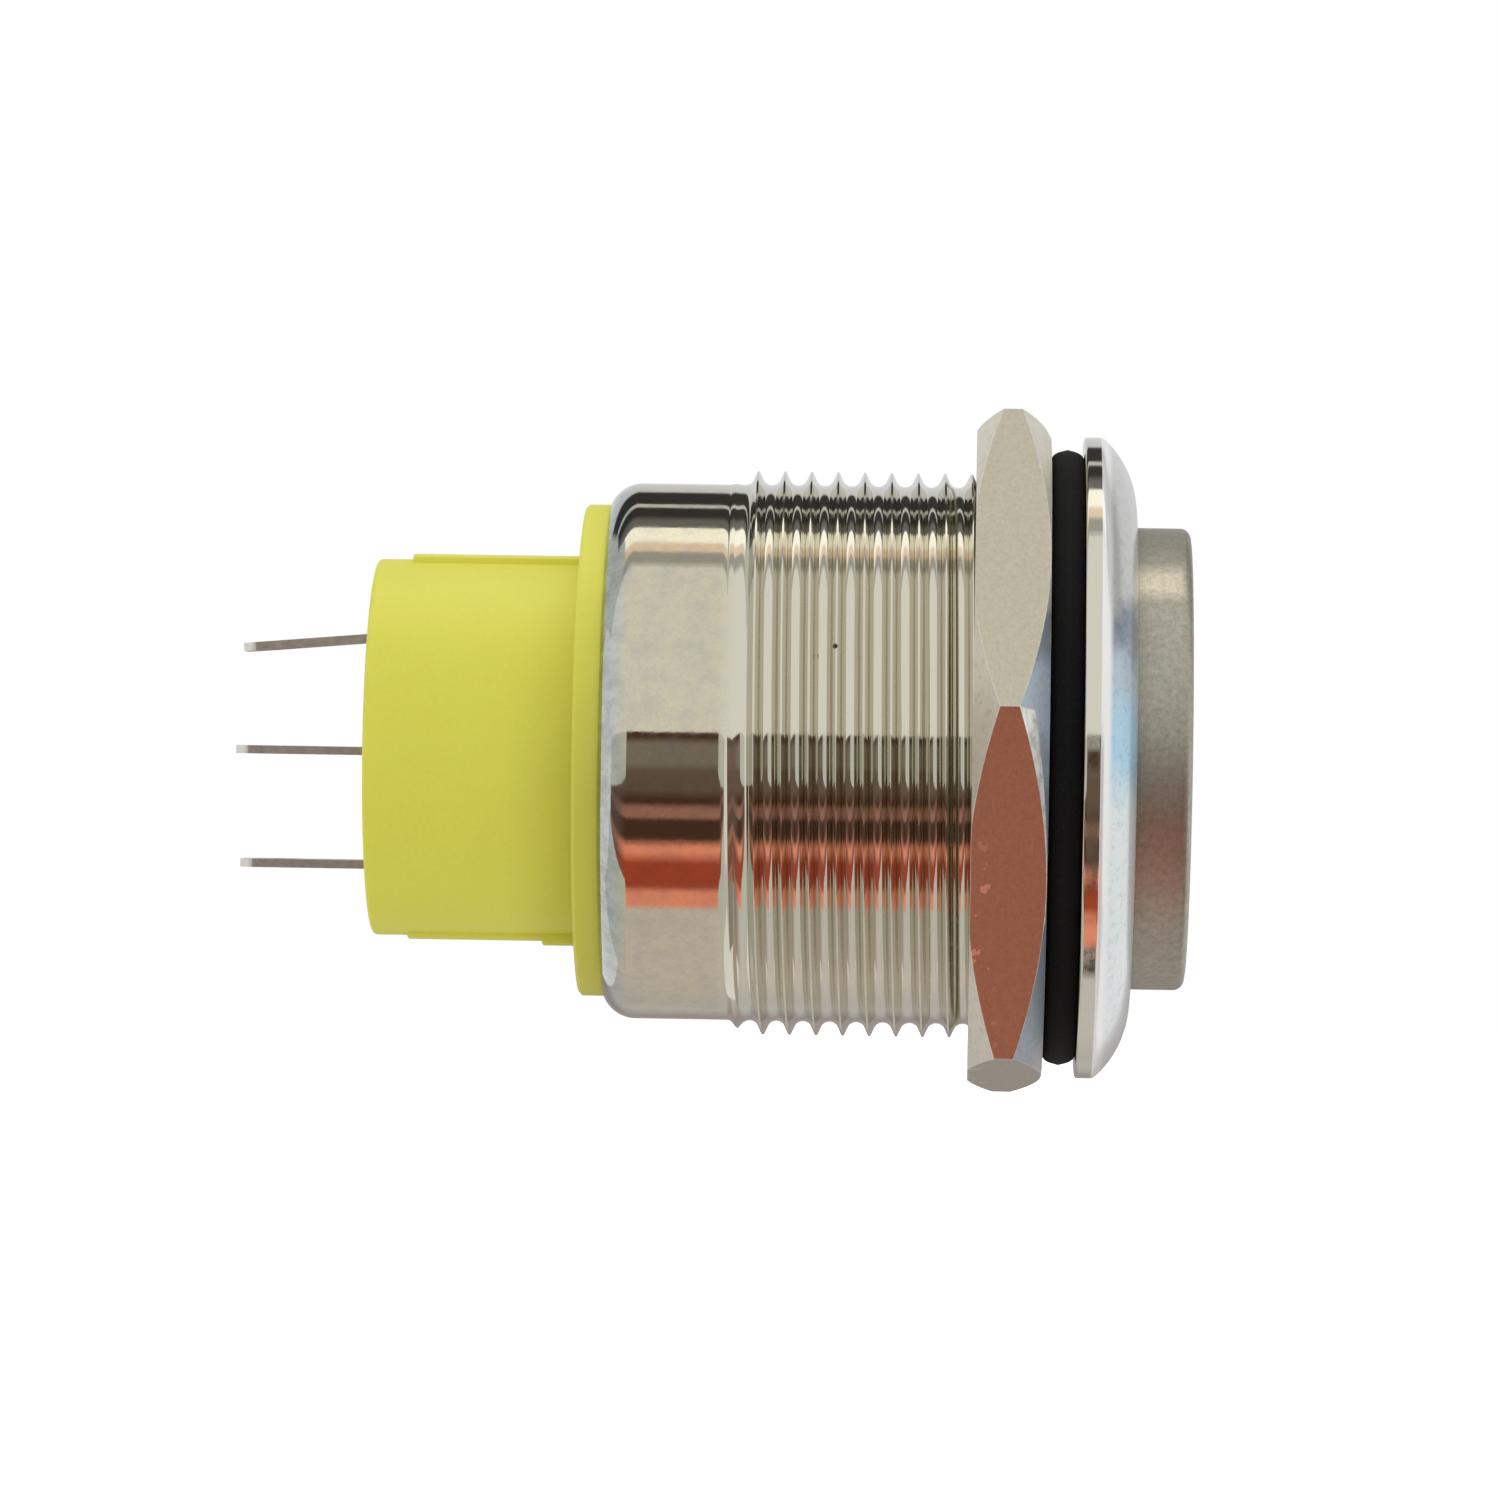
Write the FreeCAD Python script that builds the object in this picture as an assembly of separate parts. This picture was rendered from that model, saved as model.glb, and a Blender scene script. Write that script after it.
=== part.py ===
# Metal panel pushbutton switch, 22 mm size, with a high button and three terminals.
# Millimetres. The origin is the centre of the flange's rear face, where the panel lies.
# +X points out of the panel through the button, and +Z is up.

import FreeCAD, Part
import math
import os

os.makedirs("parts", exist_ok=True)

# Barrel and flange
THREAD_R = 11.0            # crests of the panel thread
ACROSS = THREAD_R / 11.0   # inner sizes across the switch keep their share of the thread
THREAD_DEPTH = 0.55
THREAD_PITCH = 1.04
GROOVE_SHARE = 0.46        # width of the thread's grooves at the crests, as a share of the pitch
FLOOR_SHARE = 0.12         # and at the root
THREAD_L = 13.25           # flange to the end of the thread
TAIL_L = 5.08              # smooth stretch behind the thread
TAIL_ROUND = 1.33          # radius of the rounded rear edge
TAIL_STEP = 0.75           # how far in that rounding ends on the rear face
BARREL_WALL = 1.25         # under the thread's root
FLANGE_OVER = 1.5          # flange stands out over the thread
FLANGE_RIM = 0.7
FLANGE_DOME = 1.4          # height of the domed front over the rim
DOME_R = 6.3
EDGE = 0.12                # small broken edges

# Sealing ring and nut
RING_W = 1.25              # squeezed width between flange and nut
RING_OVER = 1.0            # ring stands out over the thread
RING_FLAT = 0.5            # flattened stretch on each side
NUT_L = 2.88
NUT_WALL = 1.5             # from the thread's crests to the flats
NUT_TURN = 22.5            # first corner, degrees from straight up towards the viewer
NUT_CHAMFER_IN = 0.05      # the front chamfer starts inside the flats' circle
NUT_CHAMFER_OUT = 0.2      # and the rear one outside it
NUT_CHAMFER_ANGLE = 30.0
NUT_THREAD_GAP = 0.05
NUT_RING_GAP = 0.03        # nut's front face to the sealing ring

# Button
RIM_W = 3.5                # flange round the button
BUTTON_PROUD = 2.1         # stands out of the flange at rest
BUTTON_HEAD_L = 3.3
BUTTON_EDGE = 0.4
BUTTON_WALL = 1.6          # behind the pressed face
BUTTON_GAP = 0.1           # round the head, and under it at full travel
TRAVEL = 1.8
HEAD_STEP = 1.6            # under the button's head
SHANK_WALL = 1.2 * ACROSS
SHANK_TAIL = 0.6           # behind the retaining ring
LIP_L = 2.2                # inner lip that guides the shank
LIP_GAP = 0.1
SEAL_W = 1.0               # button seal in the lip
SEAL_GAP = 0.05
CLIP_T = 0.6               # retaining ring
CLIP_DEPTH = 0.45
CLIP_CLEAR = 0.4           # to the guide's rim
CLIP_OPENING = 34.0        # degrees
CLIP_OFF_SHARE = 0.17      # its outer circle is off centre, so it thins towards the opening
CLIP_EYE_SHARE = 0.2       # hole in each lug, as a share of the ring's width

# Plunger, guide and springs
PLUNGER_WALL = 0.95 * ACROSS
PLUNGER_FRONT = 1.2
COLLAR_T = 0.6
COLLAR_STEP = 0.5          # inside the shank
STEM_R = 2.3 * ACROSS
STEM_WALL = 0.7 * ACROSS
STEM_END = 0.9
STEM_SHORT = 0.5           # stem's end at rest, in front of the contact chamber
GUIDE_WALL = 0.8 * ACROSS
GUIDE_GAP = 0.1
GUIDE_L = 2.8              # guide tube in front of the guide's floor
GUIDE_FLOOR = 1.2
GUIDE_RIM = 0.6
SEAT_DEPTH = 0.3           # recess that centres the return spring
WIRE_SIDES = 8
RETURN_SHARE = 0.4         # wire's share of the room between plunger and guide tube
RETURN_TURNS = 4.5
OVER_WIRE = 0.35 * ACROSS
OVER_GAP = 0.22            # round the spring in the stem
OVER_TURNS = 7.5
ARM_SPRING_R = 1.0 * ACROSS
ARM_SPRING_WIRE = 0.3 * ACROSS
ARM_SPRING_TURNS = 3.5
ARM_SPRING_SHARE = 0.37    # of the contacts' height
PIN_HEAD_GAP = 0.15        # round the pin's head in the stem
PIN_SHARE = 0.55           # pin's radius as a share of its head
PIN_HEAD_T = 0.8
PIN_GAP = 0.06

# Base
CHAMBER_DEPTH = 6.0
BASE_WEB = 2.33            # chamber floor to the housing's rear face
BASE_GAP = 0.1             # between the base and the bore
CHAMBER_WALL = 2.2         # above and below the contacts' chamber
CHAMBER_SHARE = 0.652      # its width as a share of its height
CHAMBER_CORNER = 1.5
DISC_STEP = 0.1            # disc inside the housing's rear face
DISC_T = 1.0
BLOCK_STEP = 1.75          # block inside the part that fills the bore
BLOCK_L = 8.12
BLOCK_EDGE = 0.18
RIB_W = 3.0 * ACROSS       # ribs along the block's top and bottom
RIB_L = 6.7
TOP_RIB_H = 0.22
LOW_RIB_H = 0.15
KEY_L = 1.45               # step of the lower rib beside the disc
KEY_H = 0.32
BASE_SEAL_W = 0.9
BASE_SEAL_INSET = 0.65     # behind the groove
BOSS_H = 0.9

# Terminals and contacts
BLADE_T = 0.32
BLADE_W = 2.8
BLADE_OUT = 5.2            # length outside the base
BLADE_PITCH = 4.43 * ACROSS  # from each row to the next
BLADE_TIP = 0.5
BLADE_HOLE_R = 0.6
BLADE_FIT = 0.03           # round each blade in its slot
BLADE_CLEAR = 0.7          # middle blade's edge to the chamber's side
COMMON_BEND = 5.0          # degrees, outside the base
PRONG_W = 0.45
PRONG_L = 0.85
RISER_W = 1.1
CONTACT_R = 0.9 * ACROSS
CONTACT_T = 0.5
CONTACT_CROWN = 0.15       # height of the domed face
CONTACT_OPEN = 1.2         # gap of the open pair
RIVET_SHARE = 0.5          # rivet's radius as a share of the contact's
RIVET_FIT = 0.02
ARM_T = 0.3
ARM_CLEAR = 0.9            # between the arm and the strip that rises beside it
ARM_TIP_SHARE = 0.72       # width at the tip
ARM_HEEL = 0.8             # beyond the edge it rocks on
ARM_TIP = 0.1              # beyond the contact
CHAMBER_TOP = 1.85         # arm's heel to the chamber's top
CHAMBER_END = 0.35         # arm's tip to the chamber's bottom
SEAT_GAP = 0.05            # between pieces that meet and part

# Sizes across the switch, from the thread inwards and outwards
ROOT_R = THREAD_R - THREAD_DEPTH
ENGAGED_R = THREAD_R - THREAD_DEPTH / 2
NUT_BORE_R = THREAD_R + NUT_THREAD_GAP
FLANGE_R = THREAD_R + FLANGE_OVER
RING_OUT_R = THREAD_R + RING_OVER
NUT_FLATS = 2 * (THREAD_R + NUT_WALL)
TAIL_FACE_R = ROOT_R - TAIL_STEP
BORE_R = ROOT_R - BARREL_WALL
BUTTON_R = FLANGE_R - RIM_W
SHANK_R = BUTTON_R - HEAD_STEP
SHANK_BORE_R = SHANK_R - SHANK_WALL
CLIP_IN_R = SHANK_R - CLIP_DEPTH
COLLAR_R = SHANK_R - COLLAR_STEP
PLUNGER_IN_R = SHANK_BORE_R - SEAT_GAP - PLUNGER_WALL
STEM_BORE_R = STEM_R - STEM_WALL
TUBE_R = STEM_R + GUIDE_GAP + GUIDE_WALL
RETURN_R = (PLUNGER_IN_R + TUBE_R) / 2
RETURN_WIRE = (PLUNGER_IN_R - TUBE_R) * RETURN_SHARE
OVER_R = STEM_BORE_R - OVER_WIRE / 2 - OVER_GAP
PIN_HEAD_R = STEM_BORE_R - PIN_HEAD_GAP
PIN_R = PIN_HEAD_R * PIN_SHARE
GUIDE_R = BORE_R - BASE_GAP
CLIP_W = GUIDE_R - GUIDE_RIM - CLIP_CLEAR - CLIP_IN_R
CLIP_OFFSET = CLIP_W * CLIP_OFF_SHARE
DISC_R = TAIL_FACE_R - DISC_STEP
BLOCK_R = GUIDE_R - BLOCK_STEP
CHAMBER_H = 2 * (GUIDE_R - CHAMBER_WALL)
CHAMBER_W = CHAMBER_H * CHAMBER_SHARE
CONTACT_Z = CHAMBER_END + CONTACT_R + ARM_TIP - CHAMBER_H / 2
TOP_ROW_Z = CHAMBER_H / 2 - CHAMBER_TOP - ARM_HEEL
MIDDLE_ROW_Z = TOP_ROW_Z - BLADE_PITCH
LOW_ROW_Z = MIDDLE_ROW_Z - BLADE_PITCH
SIDE_STEP = CHAMBER_W / 2 - BLADE_CLEAR - BLADE_W / 2
ARM_W = 2 * (SIDE_STEP + BLADE_W / 2 - RISER_W - ARM_CLEAR)
ARM_TIP_W = ARM_W * ARM_TIP_SHARE
RIVET_R = CONTACT_R * RIVET_SHARE
ARM_SPRING_Z = CONTACT_Z * ARM_SPRING_SHARE

# Stations along X, from the front to the rear
X_FLANGE = FLANGE_RIM + FLANGE_DOME
X_BUTTON = X_FLANGE + BUTTON_PROUD
X_HEAD_REAR = X_BUTTON - BUTTON_HEAD_L
X_RECESS = X_HEAD_REAR - TRAVEL - BUTTON_GAP
X_LIP = X_RECESS - LIP_L
X_SEAL = (X_RECESS + X_LIP) / 2
X_CLIP = X_LIP - SEAT_GAP
X_SHANK_END = X_CLIP - CLIP_T - SHANK_TAIL
X_CAP_INNER = X_BUTTON - BUTTON_WALL
X_PLUNGER_IN = X_CAP_INNER - PLUNGER_FRONT
X_PLUNGER_END = X_SHANK_END - COLLAR_T
X_NUT_FRONT = -RING_W - NUT_RING_GAP
X_NUT_REAR = X_NUT_FRONT - NUT_L
X_TAIL = -THREAD_L - TAIL_L
X_BLOCK = X_TAIL - DISC_T
X_REAR = X_BLOCK - BLOCK_L
X_TIP = X_REAR - BLADE_OUT
X_WEB = X_TAIL + BASE_WEB
X_CHAMBER = X_WEB + CHAMBER_DEPTH
X_GUIDE = X_CHAMBER + GUIDE_FLOOR
X_NC_PLATE = X_CHAMBER - SEAT_GAP
X_NC_FACE = X_NC_PLATE - BLADE_T - CONTACT_T
X_ARM = X_NC_FACE - SEAT_GAP - CONTACT_T
X_PIVOT = X_ARM - ARM_T
X_STEM_END = X_CHAMBER + STEM_SHORT
X_PIN_SEAT = X_STEM_END + STEM_END
ARM_REACH = TOP_ROW_Z - CONTACT_Z
ARM_TILT = math.asin(CONTACT_OPEN / ARM_REACH)
X_TIP_TILTED = X_PIVOT - CONTACT_T * math.cos(ARM_TILT) - CONTACT_OPEN
X_NO_PLATE = X_TIP_TILTED - SEAT_GAP - CONTACT_T

V = FreeCAD.Vector
X_AXIS = V(1, 0, 0)
Y_AXIS = V(0, 1, 0)


def save(shape, node):
    shape.exportStep(f"parts/{node}.step")


def rod(x_front, x_rear, radius, y=0.0, z=0.0):
    """Cylinder along X between two stations."""
    return Part.makeCylinder(radius, x_front - x_rear, V(x_rear, y, z), X_AXIS)


def tube(x_front, x_rear, outer, inner):
    return rod(x_front, x_rear, outer).cut(rod(x_front, x_rear, inner))


def block(x_pair, y_pair, z_pair):
    """Box between two values on each axis."""
    low = [min(pair) for pair in (x_pair, y_pair, z_pair)]
    high = [max(pair) for pair in (x_pair, y_pair, z_pair)]
    return Part.makeBox(high[0] - low[0], high[1] - low[1], high[2] - low[2], V(*low))


def turned(outline):
    """Solid of revolution about X. Each step of the outline is a point (x, r), or a pair of
    points (through, end) for an arc."""
    edges = []
    here = outline[0]
    for step in list(outline[1:]) + [outline[0]]:
        is_arc = isinstance(step[0], tuple)
        end = step[1] if is_arc else step
        a, b = V(here[0], 0, here[1]), V(end[0], 0, end[1])
        if is_arc:
            edges.append(Part.Arc(a, V(step[0][0], 0, step[0][1]), b).toShape())
        elif a.distanceToPoint(b) > 1e-6:
            edges.append(Part.LineSegment(a, b).toShape())
        here = end
    return Part.Face(Part.Wire(edges)).revolve(V(0, 0, 0), X_AXIS, 360)


def through(a, b, radius, side):
    """Middle point of the arc of that radius from a to b, bulging to the side (+1 is left of a to b)."""
    half = math.dist(a, b) / 2
    bulge = radius - math.sqrt(radius * radius - half * half)
    run = ((b[0] - a[0]) / (2 * half), (b[1] - a[1]) / (2 * half))
    middle = ((a[0] + b[0]) / 2, (a[1] + b[1]) / 2)
    return (middle[0] - side * run[1] * bulge, middle[1] + side * run[0] * bulge)


def coil(x_front, x_rear, radius, wire, turns, y=0.0, z=0.0):
    """Compression spring along X, its end turns ground flat. The wire has a few flats round it."""
    length = x_front - x_rear
    pitch = length / turns
    helix = Part.makeHelix(pitch, length + 2 * wire, radius)
    lead = math.atan2(pitch, 2 * math.pi * radius)
    corner = wire / 2 / math.cos(math.pi / (2 * WIRE_SIDES))
    section = []
    for k in range(WIRE_SIDES + 1):
        turn = 2 * math.pi * (k + 0.5) / WIRE_SIDES
        rise = corner * math.sin(turn)
        section.append(V(radius + corner * math.cos(turn), -rise * math.sin(lead), rise * math.cos(lead)))
    spring = Part.Wire(helix).makePipeShell([Part.makePolygon(section)], True, True)
    spring = spring.common(Part.makeCylinder(radius + wire, length, V(0, 0, wire))).Solids[0]
    spring.rotate(V(0, 0, 0), Y_AXIS, 90)
    spring.translate(V(x_rear - wire, y, z))
    return spring


def thread_grooves(x_front, x_rear):
    """Corners of the open thread's grooves, one for each whole pitch, centred between two stations."""
    count = int((x_front - x_rear) / THREAD_PITCH)
    x_first = (x_front + x_rear + (count - 1) * THREAD_PITCH) / 2
    half, floor = THREAD_PITCH * GROOVE_SHARE / 2, THREAD_PITCH * FLOOR_SHARE / 2
    corners = []
    for k in range(count):
        x = x_first - k * THREAD_PITCH
        corners += [(x + half, THREAD_R), (x + floor, ROOT_R), (x - floor, ROOT_R), (x - half, THREAD_R)]
    return corners


def housing():
    dome_end = (X_FLANGE, BUTTON_R + BUTTON_GAP)
    rim = (FLANGE_RIM, FLANGE_R)
    round_start = (X_TAIL + math.sqrt(TAIL_ROUND**2 - (TAIL_ROUND - ROOT_R + TAIL_FACE_R) ** 2), ROOT_R)
    round_end = (X_TAIL, TAIL_FACE_R)
    body = turned(
        [
            (X_RECESS, BUTTON_R + BUTTON_GAP),
            dome_end,
            (through(dome_end, rim, DOME_R, -1), rim),
            (EDGE, FLANGE_R),
            (0.0, FLANGE_R - EDGE),
            (0.0, ROOT_R),
            (-RING_W, ROOT_R),
            (-RING_W, ENGAGED_R),
            (X_NUT_REAR, ENGAGED_R),
            (X_NUT_REAR, THREAD_R),
            *thread_grooves(X_NUT_REAR, -THREAD_L + THREAD_DEPTH),
            (-THREAD_L + THREAD_DEPTH, THREAD_R),
            (-THREAD_L, ROOT_R),
            round_start,
            (through(round_start, round_end, TAIL_ROUND, -1), round_end),
            (X_TAIL, BORE_R + EDGE),
            (X_TAIL + EDGE, BORE_R),
            (X_LIP, BORE_R),
            (X_LIP, SHANK_R + LIP_GAP),
            (X_RECESS, SHANK_R + LIP_GAP),
        ]
    )
    groove = tube(X_SEAL + SEAL_W / 2, X_SEAL - SEAL_W / 2, SHANK_R + SEAL_GAP + SEAL_W, SHANK_R)
    return body.cut(groove)


def hex_nut():
    corner = NUT_FLATS / 2 / math.cos(math.pi / 6)
    points = []
    for k in range(7):
        turn = math.radians(NUT_TURN + 60 * k)
        points.append(V(X_NUT_REAR, -corner * math.sin(turn), corner * math.cos(turn)))
    prism = Part.Face(Part.makePolygon(points)).extrude(V(NUT_L, 0, 0))
    slope = math.tan(math.radians(NUT_CHAMFER_ANGLE))
    countersink = NUT_BORE_R + THREAD_DEPTH
    reach = corner + 1
    front_r = NUT_FLATS / 2 - NUT_CHAMFER_IN
    rear_r = NUT_FLATS / 2 + NUT_CHAMFER_OUT
    cones = turned(
        [
            (X_NUT_REAR, countersink),
            (X_NUT_REAR + THREAD_DEPTH, NUT_BORE_R),
            (X_NUT_FRONT - THREAD_DEPTH, NUT_BORE_R),
            (X_NUT_FRONT, countersink),
            (X_NUT_FRONT, front_r),
            (X_NUT_FRONT - (reach - front_r) * slope, reach),
            (X_NUT_REAR + (reach - rear_r) * slope, reach),
            (X_NUT_REAR, rear_r),
        ]
    )
    return prism.common(cones)


def panel_seal_ring():
    crown = (RING_W - RING_FLAT) / 2
    inner = ROOT_R + SEAT_GAP
    low, high = inner + crown, RING_OUT_R - crown
    return turned(
        [
            (0.0, low),
            (0.0, high),
            ((-RING_W / 2, RING_OUT_R), (-RING_W, high)),
            (-RING_W, low),
            ((-RING_W / 2, inner), (0.0, low)),
        ]
    )


def round_ring(x_middle, inner, section):
    """Round rubber ring about X."""
    return Part.makeTorus(inner + section / 2, section / 2, V(x_middle, 0, 0), X_AXIS)


def button_cap():
    edge = BUTTON_EDGE
    face = (X_BUTTON, BUTTON_R - edge)
    side = (X_BUTTON - edge, BUTTON_R)
    return turned(
        [
            (X_BUTTON, 0.0),
            face,
            (through(face, side, edge, -1), side),
            (X_HEAD_REAR + EDGE, BUTTON_R),
            (X_HEAD_REAR, BUTTON_R - EDGE),
            (X_HEAD_REAR, SHANK_R),
            (X_CLIP, SHANK_R),
            (X_CLIP, CLIP_IN_R - SEAT_GAP),
            (X_CLIP - CLIP_T, CLIP_IN_R - SEAT_GAP),
            (X_CLIP - CLIP_T, SHANK_R),
            (X_SHANK_END + EDGE, SHANK_R),
            (X_SHANK_END, SHANK_R - EDGE),
            (X_SHANK_END, SHANK_BORE_R),
            (X_CAP_INNER, SHANK_BORE_R),
            (X_CAP_INNER, 0.0),
        ]
    )


def button_retaining_ring():
    """Open ring, widest opposite its opening, with a drilled lug at each end."""
    x_pair = (X_CLIP - SEAT_GAP / 2, X_CLIP - CLIP_T + SEAT_GAP / 2)
    outer = rod(*x_pair, CLIP_IN_R + CLIP_W - CLIP_OFFSET, 0, CLIP_OFFSET)
    ring = outer.cut(rod(*x_pair, CLIP_IN_R))
    lug_r = CLIP_W / 2
    lug_at = CLIP_IN_R + lug_r
    half = math.radians(CLIP_OPENING / 2)
    wedge = [V(x_pair[1], 0, 0)]
    reach = 2 * CLIP_IN_R
    for side in (-1, 1):
        wedge.append(V(x_pair[1], side * reach * math.sin(half), -reach * math.cos(half)))
    opening = Part.Face(Part.makePolygon(wedge + wedge[:1])).extrude(V(CLIP_T, 0, 0))
    ring = ring.cut(opening)
    lean = half + lug_r / lug_at
    for side in (-1, 1):
        y, z = side * lug_at * math.sin(lean), -lug_at * math.cos(lean)
        ring = ring.fuse(rod(*x_pair, lug_r, y, z)).cut(rod(*x_pair, CLIP_W * CLIP_EYE_SHARE, y, z))
    return ring.cut(rod(*x_pair, CLIP_IN_R)).removeSplitter()


def plunger():
    outer = SHANK_BORE_R - SEAT_GAP
    inner = PLUNGER_IN_R
    return turned(
        [
            (X_CAP_INNER, STEM_BORE_R),
            (X_CAP_INNER, outer - EDGE),
            (X_CAP_INNER - EDGE, outer),
            (X_SHANK_END, outer),
            (X_SHANK_END, COLLAR_R),
            (X_PLUNGER_END, COLLAR_R),
            (X_PLUNGER_END, inner),
            (X_PLUNGER_IN, inner),
            (X_PLUNGER_IN, STEM_R),
            (X_STEM_END + EDGE, STEM_R),
            (X_STEM_END, STEM_R - EDGE),
            (X_STEM_END, PIN_R + PIN_GAP),
            (X_PIN_SEAT, PIN_R + PIN_GAP),
            (X_PIN_SEAT, STEM_BORE_R),
        ]
    )


def push_pin():
    tip = X_ARM + SEAT_GAP
    ball = PIN_R
    head_rear = X_PIN_SEAT + SEAT_GAP
    return turned(
        [
            (head_rear + PIN_HEAD_T, 0.0),
            (head_rear + PIN_HEAD_T, PIN_HEAD_R),
            (head_rear, PIN_HEAD_R),
            (head_rear, PIN_R),
            (tip + ball, PIN_R),
            (through((tip + ball, PIN_R), (tip, 0.0), ball, -1), (tip, 0.0)),
        ]
    )


def guide_frame():
    rim_inner = GUIDE_R - GUIDE_RIM
    hole = STEM_R + GUIDE_GAP
    seat_in = RETURN_R - RETURN_WIRE / 2 - GUIDE_GAP
    seat_out = RETURN_R + RETURN_WIRE / 2 + GUIDE_GAP
    return turned(
        [
            (X_LIP, rim_inner),
            (X_LIP, GUIDE_R),
            (X_CHAMBER, GUIDE_R),
            (X_CHAMBER, hole),
            (X_GUIDE + GUIDE_L, hole),
            (X_GUIDE + GUIDE_L, TUBE_R),
            (X_GUIDE, TUBE_R),
            (X_GUIDE, seat_in),
            (X_GUIDE - SEAT_DEPTH, seat_in),
            (X_GUIDE - SEAT_DEPTH, seat_out),
            (X_GUIDE, seat_out),
            (X_GUIDE, rim_inner),
        ]
    )


def chamber():
    """Hollow of the base that holds the contacts, with rounded corners."""
    hollow = block((X_CHAMBER, X_WEB), (-CHAMBER_W / 2, CHAMBER_W / 2), (-CHAMBER_H / 2, CHAMBER_H / 2))
    along = [e for e in hollow.Edges if abs(e.tangentAt(e.FirstParameter).x) > 0.9]
    return hollow.makeFillet(CHAMBER_CORNER, along)


def rib(length, height, side):
    """Rib along the block from the disc rearwards, on its top (+1) or bottom (-1)."""
    z_pair = (0, side * (BLOCK_R + height))
    bar = block((X_BLOCK, X_BLOCK - length), (-RIB_W / 2, RIB_W / 2), z_pair)
    return bar.common(rod(X_BLOCK, X_REAR, BLOCK_R + height))


def terminal_base(slots):
    groove_rear = X_TAIL + BASE_SEAL_INSET
    groove_front = groove_rear + BASE_SEAL_W
    groove_r = GUIDE_R - BASE_SEAL_W
    corner = (X_REAR, BLOCK_R - BLOCK_EDGE)
    side = (X_REAR + BLOCK_EDGE, BLOCK_R)
    body = turned(
        [
            (X_CHAMBER, 0.0),
            (X_CHAMBER, GUIDE_R),
            (groove_front, GUIDE_R),
            (groove_front, groove_r),
            (groove_rear, groove_r),
            (groove_rear, GUIDE_R),
            (X_TAIL, GUIDE_R),
            (X_TAIL, DISC_R),
            (X_BLOCK + EDGE, DISC_R),
            (X_BLOCK, DISC_R - EDGE),
            (X_BLOCK, BLOCK_R),
            side,
            (through(side, corner, BLOCK_EDGE, -1), corner),
            (X_REAR, 0.0),
        ]
    )
    body = body.fuse([rib(RIB_L, TOP_RIB_H, 1), rib(RIB_L, LOW_RIB_H, -1), rib(KEY_L, KEY_H, -1)])
    body = body.cut(chamber())
    boss_r = ARM_SPRING_R - ARM_SPRING_WIRE / 2 - GUIDE_GAP
    body = body.fuse(rod(X_WEB + BOSS_H, X_WEB, boss_r, 0, ARM_SPRING_Z))
    return body.cut(slots).removeSplitter()


def blade(x_front, y, z):
    """Flat terminal along X, from x_front to its chamfered tip, with a solder hole."""
    half, tip = BLADE_W / 2, BLADE_TIP
    outline = [
        (x_front, -half),
        (x_front, half),
        (X_TIP + tip, half),
        (X_TIP, half - tip),
        (X_TIP, tip - half),
        (X_TIP + tip, -half),
    ]
    points = [V(px, y + py, z - BLADE_T / 2) for px, py in outline]
    flat = Part.Face(Part.makePolygon(points + points[:1])).extrude(V(0, 0, BLADE_T))
    hole_x = X_TIP + BLADE_TIP + 2 * BLADE_HOLE_R
    return flat.cut(Part.makeCylinder(BLADE_HOLE_R, 2 * BLADE_T, V(hole_x, y, z - BLADE_T)))


def slot(y, z):
    """Slot in the base for a blade."""
    half_w, half_t = BLADE_W / 2 + BLADE_FIT, BLADE_T / 2 + BLADE_FIT
    return block((X_WEB, X_REAR), (y - half_w, y + half_w), (z - half_t, z + half_t))


def folded(x_front, y_pair, z, z_to):
    """Strip in XZ that comes forward at height z and turns down to z_to behind x_front."""
    t = BLADE_T
    top = z + t / 2
    inner_r = t / 2
    outer_r = inner_r + t
    start = (x_front - outer_r, top)
    turn = (x_front, top - outer_r)
    inner_turn = (x_front - t, top - outer_r)
    inner_start = (x_front - outer_r, top - t)
    y = min(y_pair)

    def at(p):
        return V(p[0], y, p[1])

    inner_middle = through(inner_turn, inner_start, inner_r, -1)
    edges = [
        Part.Arc(at(start), at(through(start, turn, outer_r, 1)), at(turn)).toShape(),
        Part.LineSegment(at(turn), at((x_front, z_to))).toShape(),
        Part.LineSegment(at((x_front, z_to)), at((x_front - t, z_to))).toShape(),
        Part.LineSegment(at((x_front - t, z_to)), at(inner_turn)).toShape(),
        Part.Arc(at(inner_turn), at(inner_middle), at(inner_start)).toShape(),
        Part.LineSegment(at(inner_start), at(start)).toShape(),
    ]
    width = abs(y_pair[1] - y_pair[0])
    return Part.Face(Part.Wire(edges)).extrude(V(0, width, 0)), x_front - outer_r


def common_terminal():
    """Top blade. Its front edge carries the arm between two prongs, and its outer part is bent down."""
    z = TOP_ROW_Z
    x_edge = X_PIVOT - SEAT_GAP
    straight = blade(x_edge, 0, z)
    inside = straight.common(block((x_edge, X_REAR), (-BLADE_W, BLADE_W), (z - 1, z + 1)))
    outside = straight.cut(inside)
    outside.rotate(V(X_REAR, 0, z), Y_AXIS, -COMMON_BEND)
    knee = Part.makeCylinder(BLADE_T / 2, BLADE_W, V(X_REAR, -BLADE_W / 2, z), Y_AXIS)
    whole = inside.fuse([outside, knee])
    for side in (-1, 1):
        y_pair = (side * BLADE_W / 2, side * (BLADE_W / 2 - PRONG_W))
        prong = block((x_edge + PRONG_L, x_edge), y_pair, (z - BLADE_T / 2, z + BLADE_T / 2))
        whole = whole.fuse(prong)
    return whole.removeSplitter()


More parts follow.
